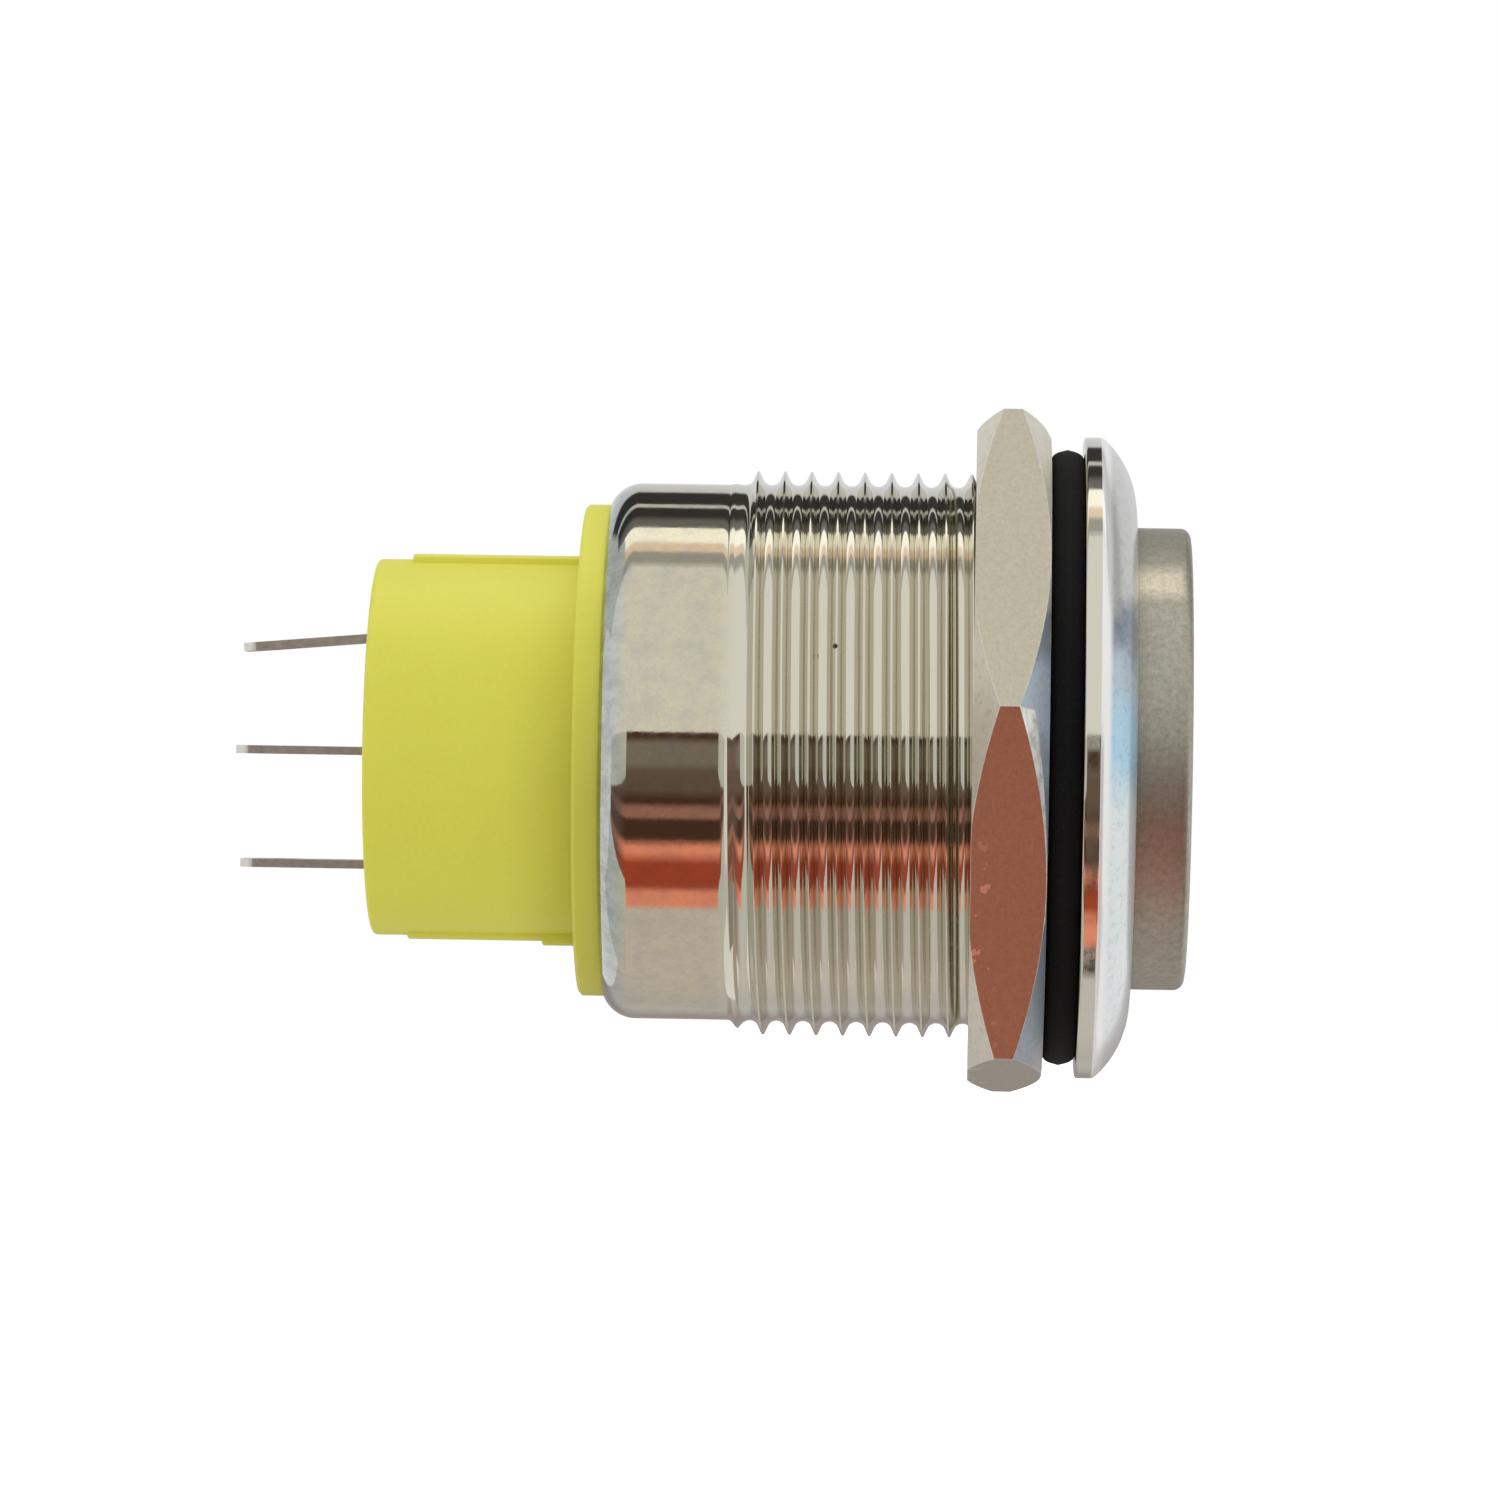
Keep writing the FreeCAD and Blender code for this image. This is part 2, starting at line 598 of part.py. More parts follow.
def normally_closed_terminal():
    """Middle blade. It rises beside the arm and crosses in front of the arm's tip."""
    y_out = -SIDE_STEP - BLADE_W / 2
    x_shoulder = X_WEB + BLADE_W / 2
    riser = (y_out, y_out + RISER_W)
    z_low = CONTACT_Z - CONTACT_R - SEAT_GAP
    z_high = CONTACT_Z + CONTACT_R + SEAT_GAP
    z_pair = (MIDDLE_ROW_Z - BLADE_T / 2, MIDDLE_ROW_Z + BLADE_T / 2)
    fold, x_fold = folded(X_NC_PLATE, riser, MIDDLE_ROW_Z, z_low)
    stalk = block((x_fold, x_shoulder), riser, z_pair)
    cross = block((X_NC_PLATE, X_NC_PLATE - BLADE_T), (y_out, CONTACT_R + SEAT_GAP), (z_low, z_high))
    return blade(x_shoulder, -SIDE_STEP, MIDDLE_ROW_Z).fuse([stalk, fold, cross]).removeSplitter()


def normally_open_terminal():
    """Bottom blade, folded down behind the arm's tip."""
    z_low = CONTACT_Z - CONTACT_R - SEAT_GAP
    fold, x_fold = folded(X_NO_PLATE, (-BLADE_W / 2, BLADE_W / 2), LOW_ROW_Z, z_low)
    return blade(x_fold, 0, LOW_ROW_Z).fuse(fold).removeSplitter()


def contact_button(x_seat, facing):
    """Domed contact on a plate at x_seat, facing the front (+1) or the rear (-1)."""
    shoulder = (x_seat + facing * (CONTACT_T - CONTACT_CROWN), CONTACT_R)
    crown = (x_seat + facing * CONTACT_T, 0.0)
    radius = (CONTACT_R**2 + CONTACT_CROWN**2) / (2 * CONTACT_CROWN)
    button = turned(
        [
            (x_seat, 0.0),
            (x_seat, CONTACT_R),
            shoulder,
            (through(shoulder, crown, radius, facing), crown),
        ]
    )
    button.translate(V(0, 0, CONTACT_Z))
    return button


def moving_contact():
    """Rivet through the arm's tip with a domed head on each side."""
    shank = rod(X_ARM, X_PIVOT, RIVET_R, 0, CONTACT_Z)
    return shank.fuse([contact_button(X_ARM, 1), contact_button(X_PIVOT, -1)]).removeSplitter()


def contact_arm():
    """Leaf that narrows to a rounded tip, notched where the prongs hold it."""
    heel, tip = TOP_ROW_Z + ARM_HEEL, CONTACT_Z - CONTACT_R - ARM_TIP
    half, tip_half = ARM_W / 2, ARM_TIP_W / 2
    tip_round = tip + tip_half
    corners = [(half, heel), (half, 0.0), (tip_half, tip_round)]
    left = [V(X_PIVOT, -y, z) for y, z in corners]
    right = [V(X_PIVOT, y, z) for y, z in reversed(corners)]
    edges = [Part.LineSegment(a, b).toShape() for a, b in zip(left, left[1:])]
    edges.append(Part.Arc(left[-1], V(X_PIVOT, 0, tip), right[0]).toShape())
    edges += [Part.LineSegment(a, b).toShape() for a, b in zip(right, right[1:] + left[:1])]
    arm = Part.Face(Part.Wire(edges)).extrude(V(ARM_T, 0, 0))
    notch_z = (TOP_ROW_Z - BLADE_T, TOP_ROW_Z + BLADE_T)
    for side in (-1, 1):
        y_pair = (side * (BLADE_W / 2 - PRONG_W - SEAT_GAP), side * ARM_W)
        arm = arm.cut(block((X_ARM, X_PIVOT), y_pair, notch_z))
    return arm.cut(rod(X_ARM, X_PIVOT, RIVET_R + RIVET_FIT, 0, CONTACT_Z))


def main():
    seats = [(0, TOP_ROW_Z), (-SIDE_STEP, MIDDLE_ROW_Z), (0, LOW_ROW_Z)]
    save(housing(), "housing")
    save(hex_nut(), "hex_nut")
    save(panel_seal_ring(), "panel_seal_ring")
    save(button_cap(), "button_cap")
    save(round_ring(X_SEAL, SHANK_R + SEAL_GAP, SEAL_W - SEAT_GAP), "button_seal_ring")
    save(button_retaining_ring(), "button_retaining_ring")
    save(plunger(), "plunger")
    save(coil(X_PLUNGER_IN, X_GUIDE - SEAT_DEPTH, RETURN_R, RETURN_WIRE, RETURN_TURNS), "return_spring")
    pin_head_front = X_PIN_SEAT + SEAT_GAP + PIN_HEAD_T
    save(coil(X_CAP_INNER, pin_head_front, OVER_R, OVER_WIRE, OVER_TURNS), "overtravel_spring")
    save(push_pin(), "push_pin")
    save(guide_frame(), "guide_frame")
    save(terminal_base([slot(y, z) for y, z in seats]), "terminal_base")
    groove_middle = X_TAIL + BASE_SEAL_INSET + BASE_SEAL_W / 2
    save(round_ring(groove_middle, GUIDE_R - BASE_SEAL_W, BASE_SEAL_W), "base_seal_ring")
    save(common_terminal(), "common_terminal")
    save(normally_closed_terminal(), "normally_closed_terminal")
    save(normally_open_terminal(), "normally_open_terminal")
    save(contact_arm(), "contact_arm")
    save(moving_contact(), "moving_contact")
    save(contact_button(X_NC_PLATE - BLADE_T, -1), "normally_closed_contact")
    save(contact_button(X_NO_PLATE, 1), "normally_open_contact")
    arm_spring = coil(X_PIVOT, X_WEB, ARM_SPRING_R, ARM_SPRING_WIRE, ARM_SPRING_TURNS, 0, ARM_SPRING_Z)
    save(arm_spring, "arm_spring")
    print(f"arm tilt {math.degrees(ARM_TILT):.4f} degrees, pivot at x {X_PIVOT:.3f}, z {TOP_ROW_Z:.3f}")
    print(f"thread from {X_NUT_REAR:.3f} to {-THREAD_L + THREAD_DEPTH:.3f}, button face {X_BUTTON:.3f}")


main()
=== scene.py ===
import math
import bpy
import bmesh
from mathutils import Matrix, Vector


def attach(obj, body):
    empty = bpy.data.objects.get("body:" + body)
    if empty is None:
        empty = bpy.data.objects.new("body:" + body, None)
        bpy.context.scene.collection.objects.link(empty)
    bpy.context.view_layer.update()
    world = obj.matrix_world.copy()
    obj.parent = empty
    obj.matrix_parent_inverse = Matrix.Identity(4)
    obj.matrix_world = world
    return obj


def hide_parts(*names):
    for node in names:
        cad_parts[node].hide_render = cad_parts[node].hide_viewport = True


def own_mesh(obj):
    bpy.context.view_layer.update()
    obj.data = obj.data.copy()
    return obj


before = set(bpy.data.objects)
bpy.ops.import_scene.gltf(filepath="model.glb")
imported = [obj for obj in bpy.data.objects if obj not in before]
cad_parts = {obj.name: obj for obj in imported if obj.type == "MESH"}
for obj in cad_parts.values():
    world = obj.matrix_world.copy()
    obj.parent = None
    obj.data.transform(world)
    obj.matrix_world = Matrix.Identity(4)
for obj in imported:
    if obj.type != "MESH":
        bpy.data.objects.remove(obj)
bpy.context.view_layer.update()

mm = 0.001
columns = 192  # facets round every turned piece


# helpers for meshes

def softenCorners(corners, steps=4):
    # corners are (x, r) or (x, r, fillet); a fillet turns into a short arc
    points = []
    count = len(corners)
    for k, corner in enumerate(corners):
        fillet = corner[2] if len(corner) > 2 else 0
        here = Vector(corner[:2])
        if not fillet:
            points.append(tuple(here))
            continue
        toLast = (Vector(corners[k - 1][:2]) - here).normalized()
        toNext = (Vector(corners[(k + 1) % count][:2]) - here).normalized()
        half = toLast.angle(toNext) / 2
        back = fillet / math.tan(half)
        centre = here + (toLast + toNext).normalized() * fillet / math.sin(half)
        start, end = here + toLast * back - centre, here + toNext * back - centre
        sweep = start.angle_signed(end)
        for s in range(steps + 1):
            a = -sweep * s / steps
            points.append((centre.x + start.x * math.cos(a) - start.y * math.sin(a),
                           centre.y + start.x * math.sin(a) + start.y * math.cos(a)))
    return points


def ring(x, r, count=columns):
    return [(x * mm, r * mm * math.cos(2 * math.pi * j / count), r * mm * math.sin(2 * math.pi * j / count))
            for j in range(count)]


def bandFaces(first, second, count=columns):
    # faces between two rings that start at these vertex numbers
    return [(first + j, first + (j + 1) % count, second + (j + 1) % count, second + j) for j in range(count)]


def finishMesh(name, verts, faces, sharpAngle=35, faceSlots=None):
    mesh = bpy.data.meshes.new(name)
    mesh.from_pydata(verts, [], faces)
    if faceSlots:
        mesh.polygons.foreach_set("material_index", faceSlots)
    bm = bmesh.new()
    bm.from_mesh(mesh)
    bmesh.ops.remove_doubles(bm, verts=bm.verts, dist=1e-7)
    bmesh.ops.dissolve_degenerate(bm, edges=bm.edges, dist=1e-7)
    bmesh.ops.recalc_face_normals(bm, faces=bm.faces)
    for face in bm.faces:
        face.smooth = True
    bm.to_mesh(mesh)
    bm.free()
    mesh.set_sharp_from_angle(angle=math.radians(sharpAngle))
    obj = bpy.data.objects.new(name, mesh)
    bpy.context.scene.collection.objects.link(obj)
    return obj


def turnedPiece(name, corners, sharpAngle=35, steps=4):
    # closed outline of (x, r, fillet) turned about the switch's axis; r 0 closes on the axis
    verts, faces, rings = [], [], []
    for x, r in softenCorners(corners, steps):
        if r < 1e-6:
            rings.append((len(verts), 1))
            verts.append((x * mm, 0, 0))
        else:
            rings.append((len(verts), columns))
            verts.extend(ring(x, r))
    for k, (first, size) in enumerate(rings):
        second, nextSize = rings[(k + 1) % len(rings)]
        if size == nextSize == columns:
            faces.extend(bandFaces(first, second))
        elif size == columns:
            faces.extend((first + j, first + (j + 1) % columns, second) for j in range(columns))
        elif nextSize == columns:
            faces.extend((second + (j + 1) % columns, second + j, first) for j in range(columns))
    return finishMesh(name, verts, faces, sharpAngle)


def dress(obj, body, slotName, materials, *nodes):
    for material in materials:
        obj.data.materials.append(material)
    if nodes:
        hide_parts(*nodes)
    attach(obj, body)
    return obj


# helpers for materials

def newMaterial(name, colour, metallic=0.0, roughness=0.5, **sockets):
    material = bpy.data.materials.new(name)
    material.use_nodes = True
    shader = material.node_tree.nodes["Principled BSDF"]
    shader.inputs["Base Color"].default_value = (*colour, 1)
    shader.inputs["Metallic"].default_value = metallic
    shader.inputs["Roughness"].default_value = roughness
    for socket, value in sockets.items():
        shader.inputs[socket.replace("_", " ")].default_value = value
    return material, shader


def addNode(material, kind, inputs=None, **settings):
    node = material.node_tree.nodes.new("ShaderNode" + kind)
    for key, value in settings.items():
        setattr(node, key, value)
    for key, value in (inputs or {}).items():
        if isinstance(value, bpy.types.NodeSocket):
            material.node_tree.links.new(value, node.inputs[key])
        else:
            node.inputs[key].default_value = value
    return node


def place(material):
    # position on the piece, in millimetres
    coords = addNode(material, "TexCoord")
    return addNode(material, "VectorMath", {0: coords.outputs["Object"], "Scale": 1000.0},
                   operation="SCALE").outputs[0]


def alongAndOut(material, position, along=1.0, out=1.0):
    # (distance along the axis, distance from the axis) for marks left by turning
    parts = addNode(material, "SeparateXYZ", {0: position})
    flat = addNode(material, "CombineXYZ", {"Y": parts.outputs["Y"], "Z": parts.outputs["Z"]})
    radius = addNode(material, "VectorMath", {0: flat.outputs[0]}, operation="LENGTH")
    x = addNode(material, "Math", {0: parts.outputs["X"], 1: along}, operation="MULTIPLY")
    r = addNode(material, "Math", {0: radius.outputs["Value"], 1: out}, operation="MULTIPLY")
    return addNode(material, "CombineXYZ", {"X": x.outputs[0], "Y": r.outputs[0]}).outputs[0]


def noise(material, vector, scale, detail=3.0, roughness=0.55, dimensions="3D"):
    return addNode(material, "TexNoise", {"Vector": vector, "Scale": scale, "Detail": detail,
                                          "Roughness": roughness}, noise_dimensions=dimensions).outputs["Fac"]


def ramp(material, factor, stops):
    # stops are (place, colour or grey)
    node = addNode(material, "ValToRGB", {"Fac": factor})
    elements = node.color_ramp.elements
    for k, (where, colour) in enumerate(stops):
        element = elements[k] if k < 2 else elements.new(where)
        element.position = where
        element.color = (*colour, 1) if isinstance(colour, tuple) else (colour, colour, colour, 1)
    return node.outputs["Color"]


def remap(material, value, low, high, toLow, toHigh):
    return addNode(material, "MapRange", {"Value": value, "From Min": low, "From Max": high, "To Min": toLow,
                                          "To Max": toHigh}).outputs["Result"]


def blendColour(material, factor, first, second, mode="MIX"):
    node = addNode(material, "Mix", data_type="RGBA", blend_type=mode)
    for key, value in (("Factor", factor), ("A", first), ("B", second)):
        socket = [s for s in node.inputs if s.name == key and s.enabled][0]
        if isinstance(value, bpy.types.NodeSocket):
            material.node_tree.links.new(value, socket)
        else:
            socket.default_value = (*value, 1) if isinstance(value, tuple) else value
    return [s for s in node.outputs if s.enabled][0]


def feed(material, shader, socket, value):
    material.node_tree.links.new(value, shader.inputs[socket])


def bump(material, shader, height, strength, distance):
    node = addNode(material, "Bump", {"Height": height, "Strength": strength, "Distance": distance})
    feed(material, shader, "Normal", node.outputs[0])


# camera

cameraValues = {
    "place": (-4.4, -293.0, 0.1),
    "aim": (-12.84, 0.0, 0.1),
    "roll": 0.92,
    "lens": 180.0,
}


def makeCamera(v):
    camera = bpy.data.objects.new("photoCamera", bpy.data.cameras.new("photoCamera"))
    bpy.context.scene.collection.objects.link(camera)
    camera.data.lens = v["lens"]
    camera.data.sensor_width = 36
    camera.data.clip_start = 0.01
    camera.data.clip_end = 20
    start, aim = Vector(v["place"]) * mm, Vector(v["aim"]) * mm
    turn = (aim - start).to_track_quat("-Z", "Y").to_matrix().to_4x4()
    camera.matrix_world = Matrix.Translation(start) @ turn @ Matrix.Rotation(math.radians(v["roll"]), 4, "Z")
    bpy.context.scene.camera = camera


makeCamera(cameraValues)
bpy.context.scene.view_settings.view_transform = "Standard"
print("camera set")


# metals and plastics

def polishedNickel():
    v = {"colour": (0.6, 0.553, 0.415), "worn": (0.5, 0.455, 0.335), "film": (0.46, 0.445, 0.385),
         "roughness": (0.035, 0.1), "ripple": 0.06,
         "reflectionTint": (0.5, 0.53, 0.51), "reflectionTintDark": (0.38, 0.4, 0.38), "reflectionTintFrom": (-17.25, -17.85),
         "thread": (0.62, 0.59, 0.49), "threadFrom": (-13.9, -13.2),
         "pit": (-9.4, 0, 4.07), "pitSize": 0.12, "pitColour": (0.01, 0.01, 0.01)}
    material, shader = newMaterial("polishedNickel", v["colour"], 1.0, v["roughness"][0])
    where = place(material)
    haze = noise(material, where, 1.3, 6.0, 0.7)
    grain = noise(material, where, 9.0, 4.0, 0.7)
    base = blendColour(material, ramp(material, grain, [(0.35, 0.0), (0.7, 0.6)]), v["colour"], v["worn"])
    base = blendColour(material, ramp(material, haze, [(0.42, 0.0), (0.66, 0.75)]), base, v["film"])
    parts = addNode(material, "SeparateXYZ", {0: where})
    # painted reflection: a cool tint with darker patches on the tail's rear rounding
    rear = remap(material, parts.outputs["X"], *v["reflectionTintFrom"], 0.0, 1.0)
    reflectionTint = blendColour(material, ramp(material, haze, [(0.4, 0.0), (0.6, 1.0)]), v["reflectionTint"], v["reflectionTintDark"])
    base = blendColour(material, rear, base, reflectionTint)
    cut = remap(material, parts.outputs["X"], *v["threadFrom"], 0.0, 1.0)
    base = blendColour(material, cut, base, v["thread"])
    flat = addNode(material, "VectorMath", {0: where, 1: (1, 0, 1)}, operation="MULTIPLY").outputs[0]
    away = addNode(material, "VectorMath", {0: flat, 1: v["pit"]}, operation="DISTANCE").outputs["Value"]
    near = addNode(material, "Math", {0: parts.outputs["Y"], 1: -5.0}, operation="LESS_THAN").outputs[0]
    dot = remap(material, away, 0.6 * v["pitSize"], v["pitSize"], 1.0, 0.0)
    pit = addNode(material, "Math", {0: near, 1: dot}, operation="MULTIPLY").outputs[0]
    feed(material, shader, "Base Color", blendColour(material, pit, base, v["pitColour"]))
    feed(material, shader, "Roughness", remap(material, haze, 0.35, 0.7, *v["roughness"]))
    bump(material, shader, noise(material, where, 2.2, 3.0, 0.5), v["ripple"], 0.00002)
    return material


def satinNickel():
    v = {"colour": (0.54, 0.505, 0.39), "dark": (0.425, 0.39, 0.305), "roughness": (0.27, 0.4), "grain": 0.12,
         "fleck": (0.95, 0.9, 0.8)}  # flecks lie on the lower rear part
    material, shader = newMaterial("satinNickel", v["colour"], 1.0, v["roughness"][0])
    where = place(material)
    speckle = noise(material, where, 6.0, 8.0, 0.85)
    lines = addNode(material, "VectorMath", {0: where, 1: (40.0, 1.2, 1.2)}, operation="MULTIPLY").outputs[0]
    drawn = noise(material, lines, 1.0, 3.0, 0.6)
    base = blendColour(material, ramp(material, speckle, [(0.42, 0.0), (0.66, 1.0)]), v["colour"], v["dark"])
    parts = addNode(material, "SeparateXYZ", {0: where})
    worn = addNode(material, "Math", {0: remap(material, parts.outputs["Z"], -2.0, -5.0, 0.0, 1.0),
                                      1: remap(material, parts.outputs["X"], -3.0, -3.5, 0.0, 1.0)},
                   operation="MULTIPLY").outputs[0]
    chips = ramp(material, noise(material, where, 1.3, 3.0, 0.7), [(0.6, 0.0), (0.63, 0.8)])
    fleck = addNode(material, "Math", {0: worn, 1: chips}, operation="MULTIPLY").outputs[0]
    base = blendColour(material, fleck, base, v["fleck"])
    feed(material, shader, "Base Color", base)
    feed(material, shader, "Roughness", remap(material, drawn, 0.35, 0.7, *v["roughness"]))
    both = addNode(material, "Math", {0: drawn, 1: speckle}, operation="ADD")
    bump(material, shader, both.outputs[0], v["grain"], 0.00002)
    return material


def stopsOf(bands, tones):
    # two stops for each band, so each tone is flat between soft joints
    return [(at, tones[name]) for first, last, name in bands for at in (first, last)]


def paintedReflectionNickel(name, bands, whiteEnd, roughness):
    # painted reflection: bands of tone run from the bottom up on the side towards the viewer; whiteEnd is
    # where a painted white highlight blends into them
    v = {"metallic": 0.35, "wander": 3.4, "patch": 0.55, "speck": (0.45, 0.5, 0.54), "reach": 13.0,
         "paintedGlint": (0.86, 0.86, 0.84)}
    tones = stopsOf(bands, paintedReflectionTones)
    material, shader = newMaterial(name, tones[0][1], v["metallic"], roughness)
    where = place(material)
    parts = addNode(material, "SeparateXYZ", {0: where})
    drift = addNode(material, "Math", {0: noise(material, where, v["patch"], 4.0, 0.6), 1: v["wander"],
                                       2: parts.outputs["Z"]}, operation="MULTIPLY_ADD")
    lift = v["wander"] / 2
    height = remap(material, drift.outputs[0], lift - v["reach"], lift + v["reach"], 0.0, 1.0)
    base = ramp(material, height, [((z + v["reach"]) / (2 * v["reach"]), colour) for z, colour in tones])
    # the painted reflection lies only on the side towards the viewer; elsewhere the top band's tone
    near = remap(material, parts.outputs["Y"], -1.0, -7.0, 0.0, 1.0)
    base = blendColour(material, near, tones[-1][1], base)
    mottle = noise(material, where, 3.4, 6.0, 0.75)
    specks = ramp(material, mottle, [(0.52, 0.0), (0.68, 0.5)])
    base = blendColour(material, specks, base, v["speck"], "MULTIPLY")
    # painted highlight: near-white blended in towards the dome's rim
    paintedGlint = remap(material, parts.outputs["X"], *whiteEnd, 1.0, 0.0)
    feed(material, shader, "Base Color", blendColour(material, paintedGlint, base, v["paintedGlint"]))
    feed(material, shader, "Roughness", remap(material, mottle, 0.3, 0.7, roughness, roughness + 0.15))
    bump(material, shader, noise(material, alongAndOut(material, where, 8.0, 8.0), 2.0, 2.0), 0.1, 0.00002)
    return material


paintedReflectionTones = {
    "pale": (0.74, 0.78, 0.78),
    "blue": (0.42, 0.64, 0.78),
    "hazy": (0.46, 0.54, 0.62),
    "slate": (0.24, 0.28, 0.32),
    "silver": (0.6, 0.6, 0.57),
    "sand": (0.6, 0.54, 0.44),
    "cream": (0.72, 0.67, 0.55),
}
# (lowest, highest, tone) of painted reflection, up the side towards the viewer
domeReflectionBands = [
    (-13, -2, "pale"), (-0.4, 1.8, "blue"), (2.6, 3.4, "hazy"), (4.4, 5.2, "slate"), (6.2, 13, "silver"),
]
chamferReflectionBands = [(-13, -1, "slate"), (1, 3, "hazy"), (4.5, 5.5, "slate"), (7, 13, "cream")]
rearChamferReflectionBands = [(-13, 1, "sand"), (3, 13, "cream")]


# painted highlight: near-white metal for the nut's edge bevels and the strip beside its lower flat
def paintedHighlightEdge():
    v = {"colour": (0.97, 0.97, 0.95), "dull": (0.62, 0.61, 0.57), "roughness": 0.22}
    material, shader = newMaterial("paintedHighlightEdge", v["colour"], 0.35, v["roughness"])
    wear = noise(material, place(material), 1.6, 5.0, 0.7)
    share = ramp(material, wear, [(0.45, 0.0), (0.62, 1.0)])
    feed(material, shader, "Base Color", blendColour(material, share, v["colour"], v["dull"]))
    return material


def turnedSteel():
    v = {"colour": (0.48, 0.465, 0.385), "dark": (0.32, 0.305, 0.25), "roughness": (0.36, 0.5), "lines": 0.5,
         "highlightBand": (1.7, 1.63, 1.56), "bandStart": (6.0, 6.5), "bandEnd": (7.0, 7.5)}
    material, shader = newMaterial("turnedSteel", v["colour"], 1.0, v["roughness"][0], Anisotropic=0.5)
    where = place(material)
    marks = noise(material, alongAndOut(material, where, 26.0, 26.0), 1.0, 4.0, 0.7, "2D")
    mottle = noise(material, where, 4.0, 8.0, 0.8)
    base = blendColour(material, ramp(material, mottle, [(0.4, 0.0), (0.64, 1.0)]), v["colour"], v["dark"])
    base = blendColour(material, ramp(material, marks, [(0.35, 0.5), (0.6, 0.0)]), base, v["dark"])
    # painted highlight: a bright band high up on the button's side, towards the viewer
    parts = addNode(material, "SeparateXYZ", {0: where})
    rise = addNode(material, "Math", {0: remap(material, parts.outputs["Z"], *v["bandStart"], 0.0, 1.0),
                                      1: remap(material, parts.outputs["Z"], *v["bandEnd"], 1.0, 0.0)},
                   operation="MULTIPLY")
    side = addNode(material, "Math", {0: remap(material, parts.outputs["X"], 3.7, 3.95, 1.0, 0.0),
                                      1: remap(material, parts.outputs["Y"], -1.0, -4.5, 0.0, 1.0)},
                   operation="MULTIPLY")
    glint = addNode(material, "Math", {0: rise.outputs[0], 1: side.outputs[0]}, operation="MULTIPLY")
    base = blendColour(material, glint.outputs[0], base, v["highlightBand"], "MULTIPLY")
    feed(material, shader, "Base Color", base)
    feed(material, shader, "Roughness", remap(material, marks, 0.3, 0.7, *v["roughness"]))
    tangent = addNode(material, "Tangent", direction_type="RADIAL", axis="X")
    feed(material, shader, "Tangent", tangent.outputs[0])
    bump(material, shader, marks, v["lines"], 0.000015)
    return material


def blackRubber():
    v = {"colour": (0.006, 0.006, 0.006), "dust": (0.022, 0.021, 0.02), "roughness": 0.8}
    material, shader = newMaterial("blackRubber", v["colour"], 0.0, v["roughness"], Specular_IOR_Level=0.18)
    where = place(material)
    dots = addNode(material, "TexVoronoi", {"Vector": where, "Scale": 9.0}).outputs["Distance"]
    specks = noise(material, where, 14.0, 3.0, 0.7)
    share = ramp(material, specks, [(0.58, 0.0), (0.74, 1.0)])
    feed(material, shader, "Base Color", blendColour(material, share, v["colour"], v["dust"]))
    bump(material, shader, dots, 0.35, 0.00003)
    return material


def yellowPlastic():
    v = {"colour": (0.735, 0.70, 0.072), "pale": (0.79, 0.77, 0.1), "paintedShadeOchre": (0.4, 0.345, 0.045),
         "roughness": (0.46, 0.6), "shadeStart": -22.0, "shadeEnd": -18.33}
    material, shader = newMaterial("yellowPlastic", v["colour"], 0.0, v["roughness"][0],
                                   Subsurface_Weight=0.12, Subsurface_Radius=(0.6, 0.55, 0.1),
                                   Subsurface_Scale=0.0008, Specular_IOR_Level=0.4)
    where = place(material)
    grain = noise(material, where, 6.0, 6.0, 0.75)
    cloud = noise(material, where, 0.35, 3.0, 0.5)
    base = blendColour(material, ramp(material, grain, [(0.36, 0.0), (0.7, 0.6)]), v["colour"], v["pale"])
    base = blendColour(material, ramp(material, cloud, [(0.4, 0.0), (0.7, 0.25)]), base, v["pale"])
    # painted shade: darker ochre towards the metal housing and towards the bottom
    parts = addNode(material, "SeparateXYZ", {0: where})
    shadeNearMetal = remap(material, parts.outputs["X"], v["shadeStart"], v["shadeEnd"], 0.0, 1.0)
    lower = remap(material, parts.outputs["Z"], 6.5, -1.5, 0.0, 0.5)
    shade = addNode(material, "Math", {0: shadeNearMetal, 1: lower}, operation="MULTIPLY").outputs[0]
    feed(material, shader, "Base Color", blendColour(material, shade, base, v["paintedShadeOchre"]))
    feed(material, shader, "Roughness", remap(material, grain, 0.3, 0.7, *v["roughness"]))
    bump(material, shader, grain, 0.12, 0.00003)
    return material


def dullBrass():
    v = {"colour": (0.34, 0.28, 0.235), "bright": (0.66, 0.64, 0.6), "roughness": (0.28, 0.45), "tip": -32.2}
    material, shader = newMaterial("dullBrass", v["colour"], 1.0, v["roughness"][0])
    where = place(material)
    stain = noise(material, where, 3.0, 5.0, 0.7)
    parts = addNode(material, "SeparateXYZ", {0: where})
    tip = remap(material, parts.outputs["X"], v["tip"] + 0.15, v["tip"] - 0.15, 0.0, 1.0)
    base = blendColour(material, ramp(material, stain, [(0.35, 0.0), (0.7, 0.35)]), v["colour"], v["bright"])
    feed(material, shader, "Base Color", blendColour(material, tip, base, v["bright"]))
    feed(material, shader, "Roughness", remap(material, stain, 0.3, 0.7, *v["roughness"]))
    bump(material, shader, noise(material, where, 12.0, 2.0), 0.08, 0.00002)
    return material


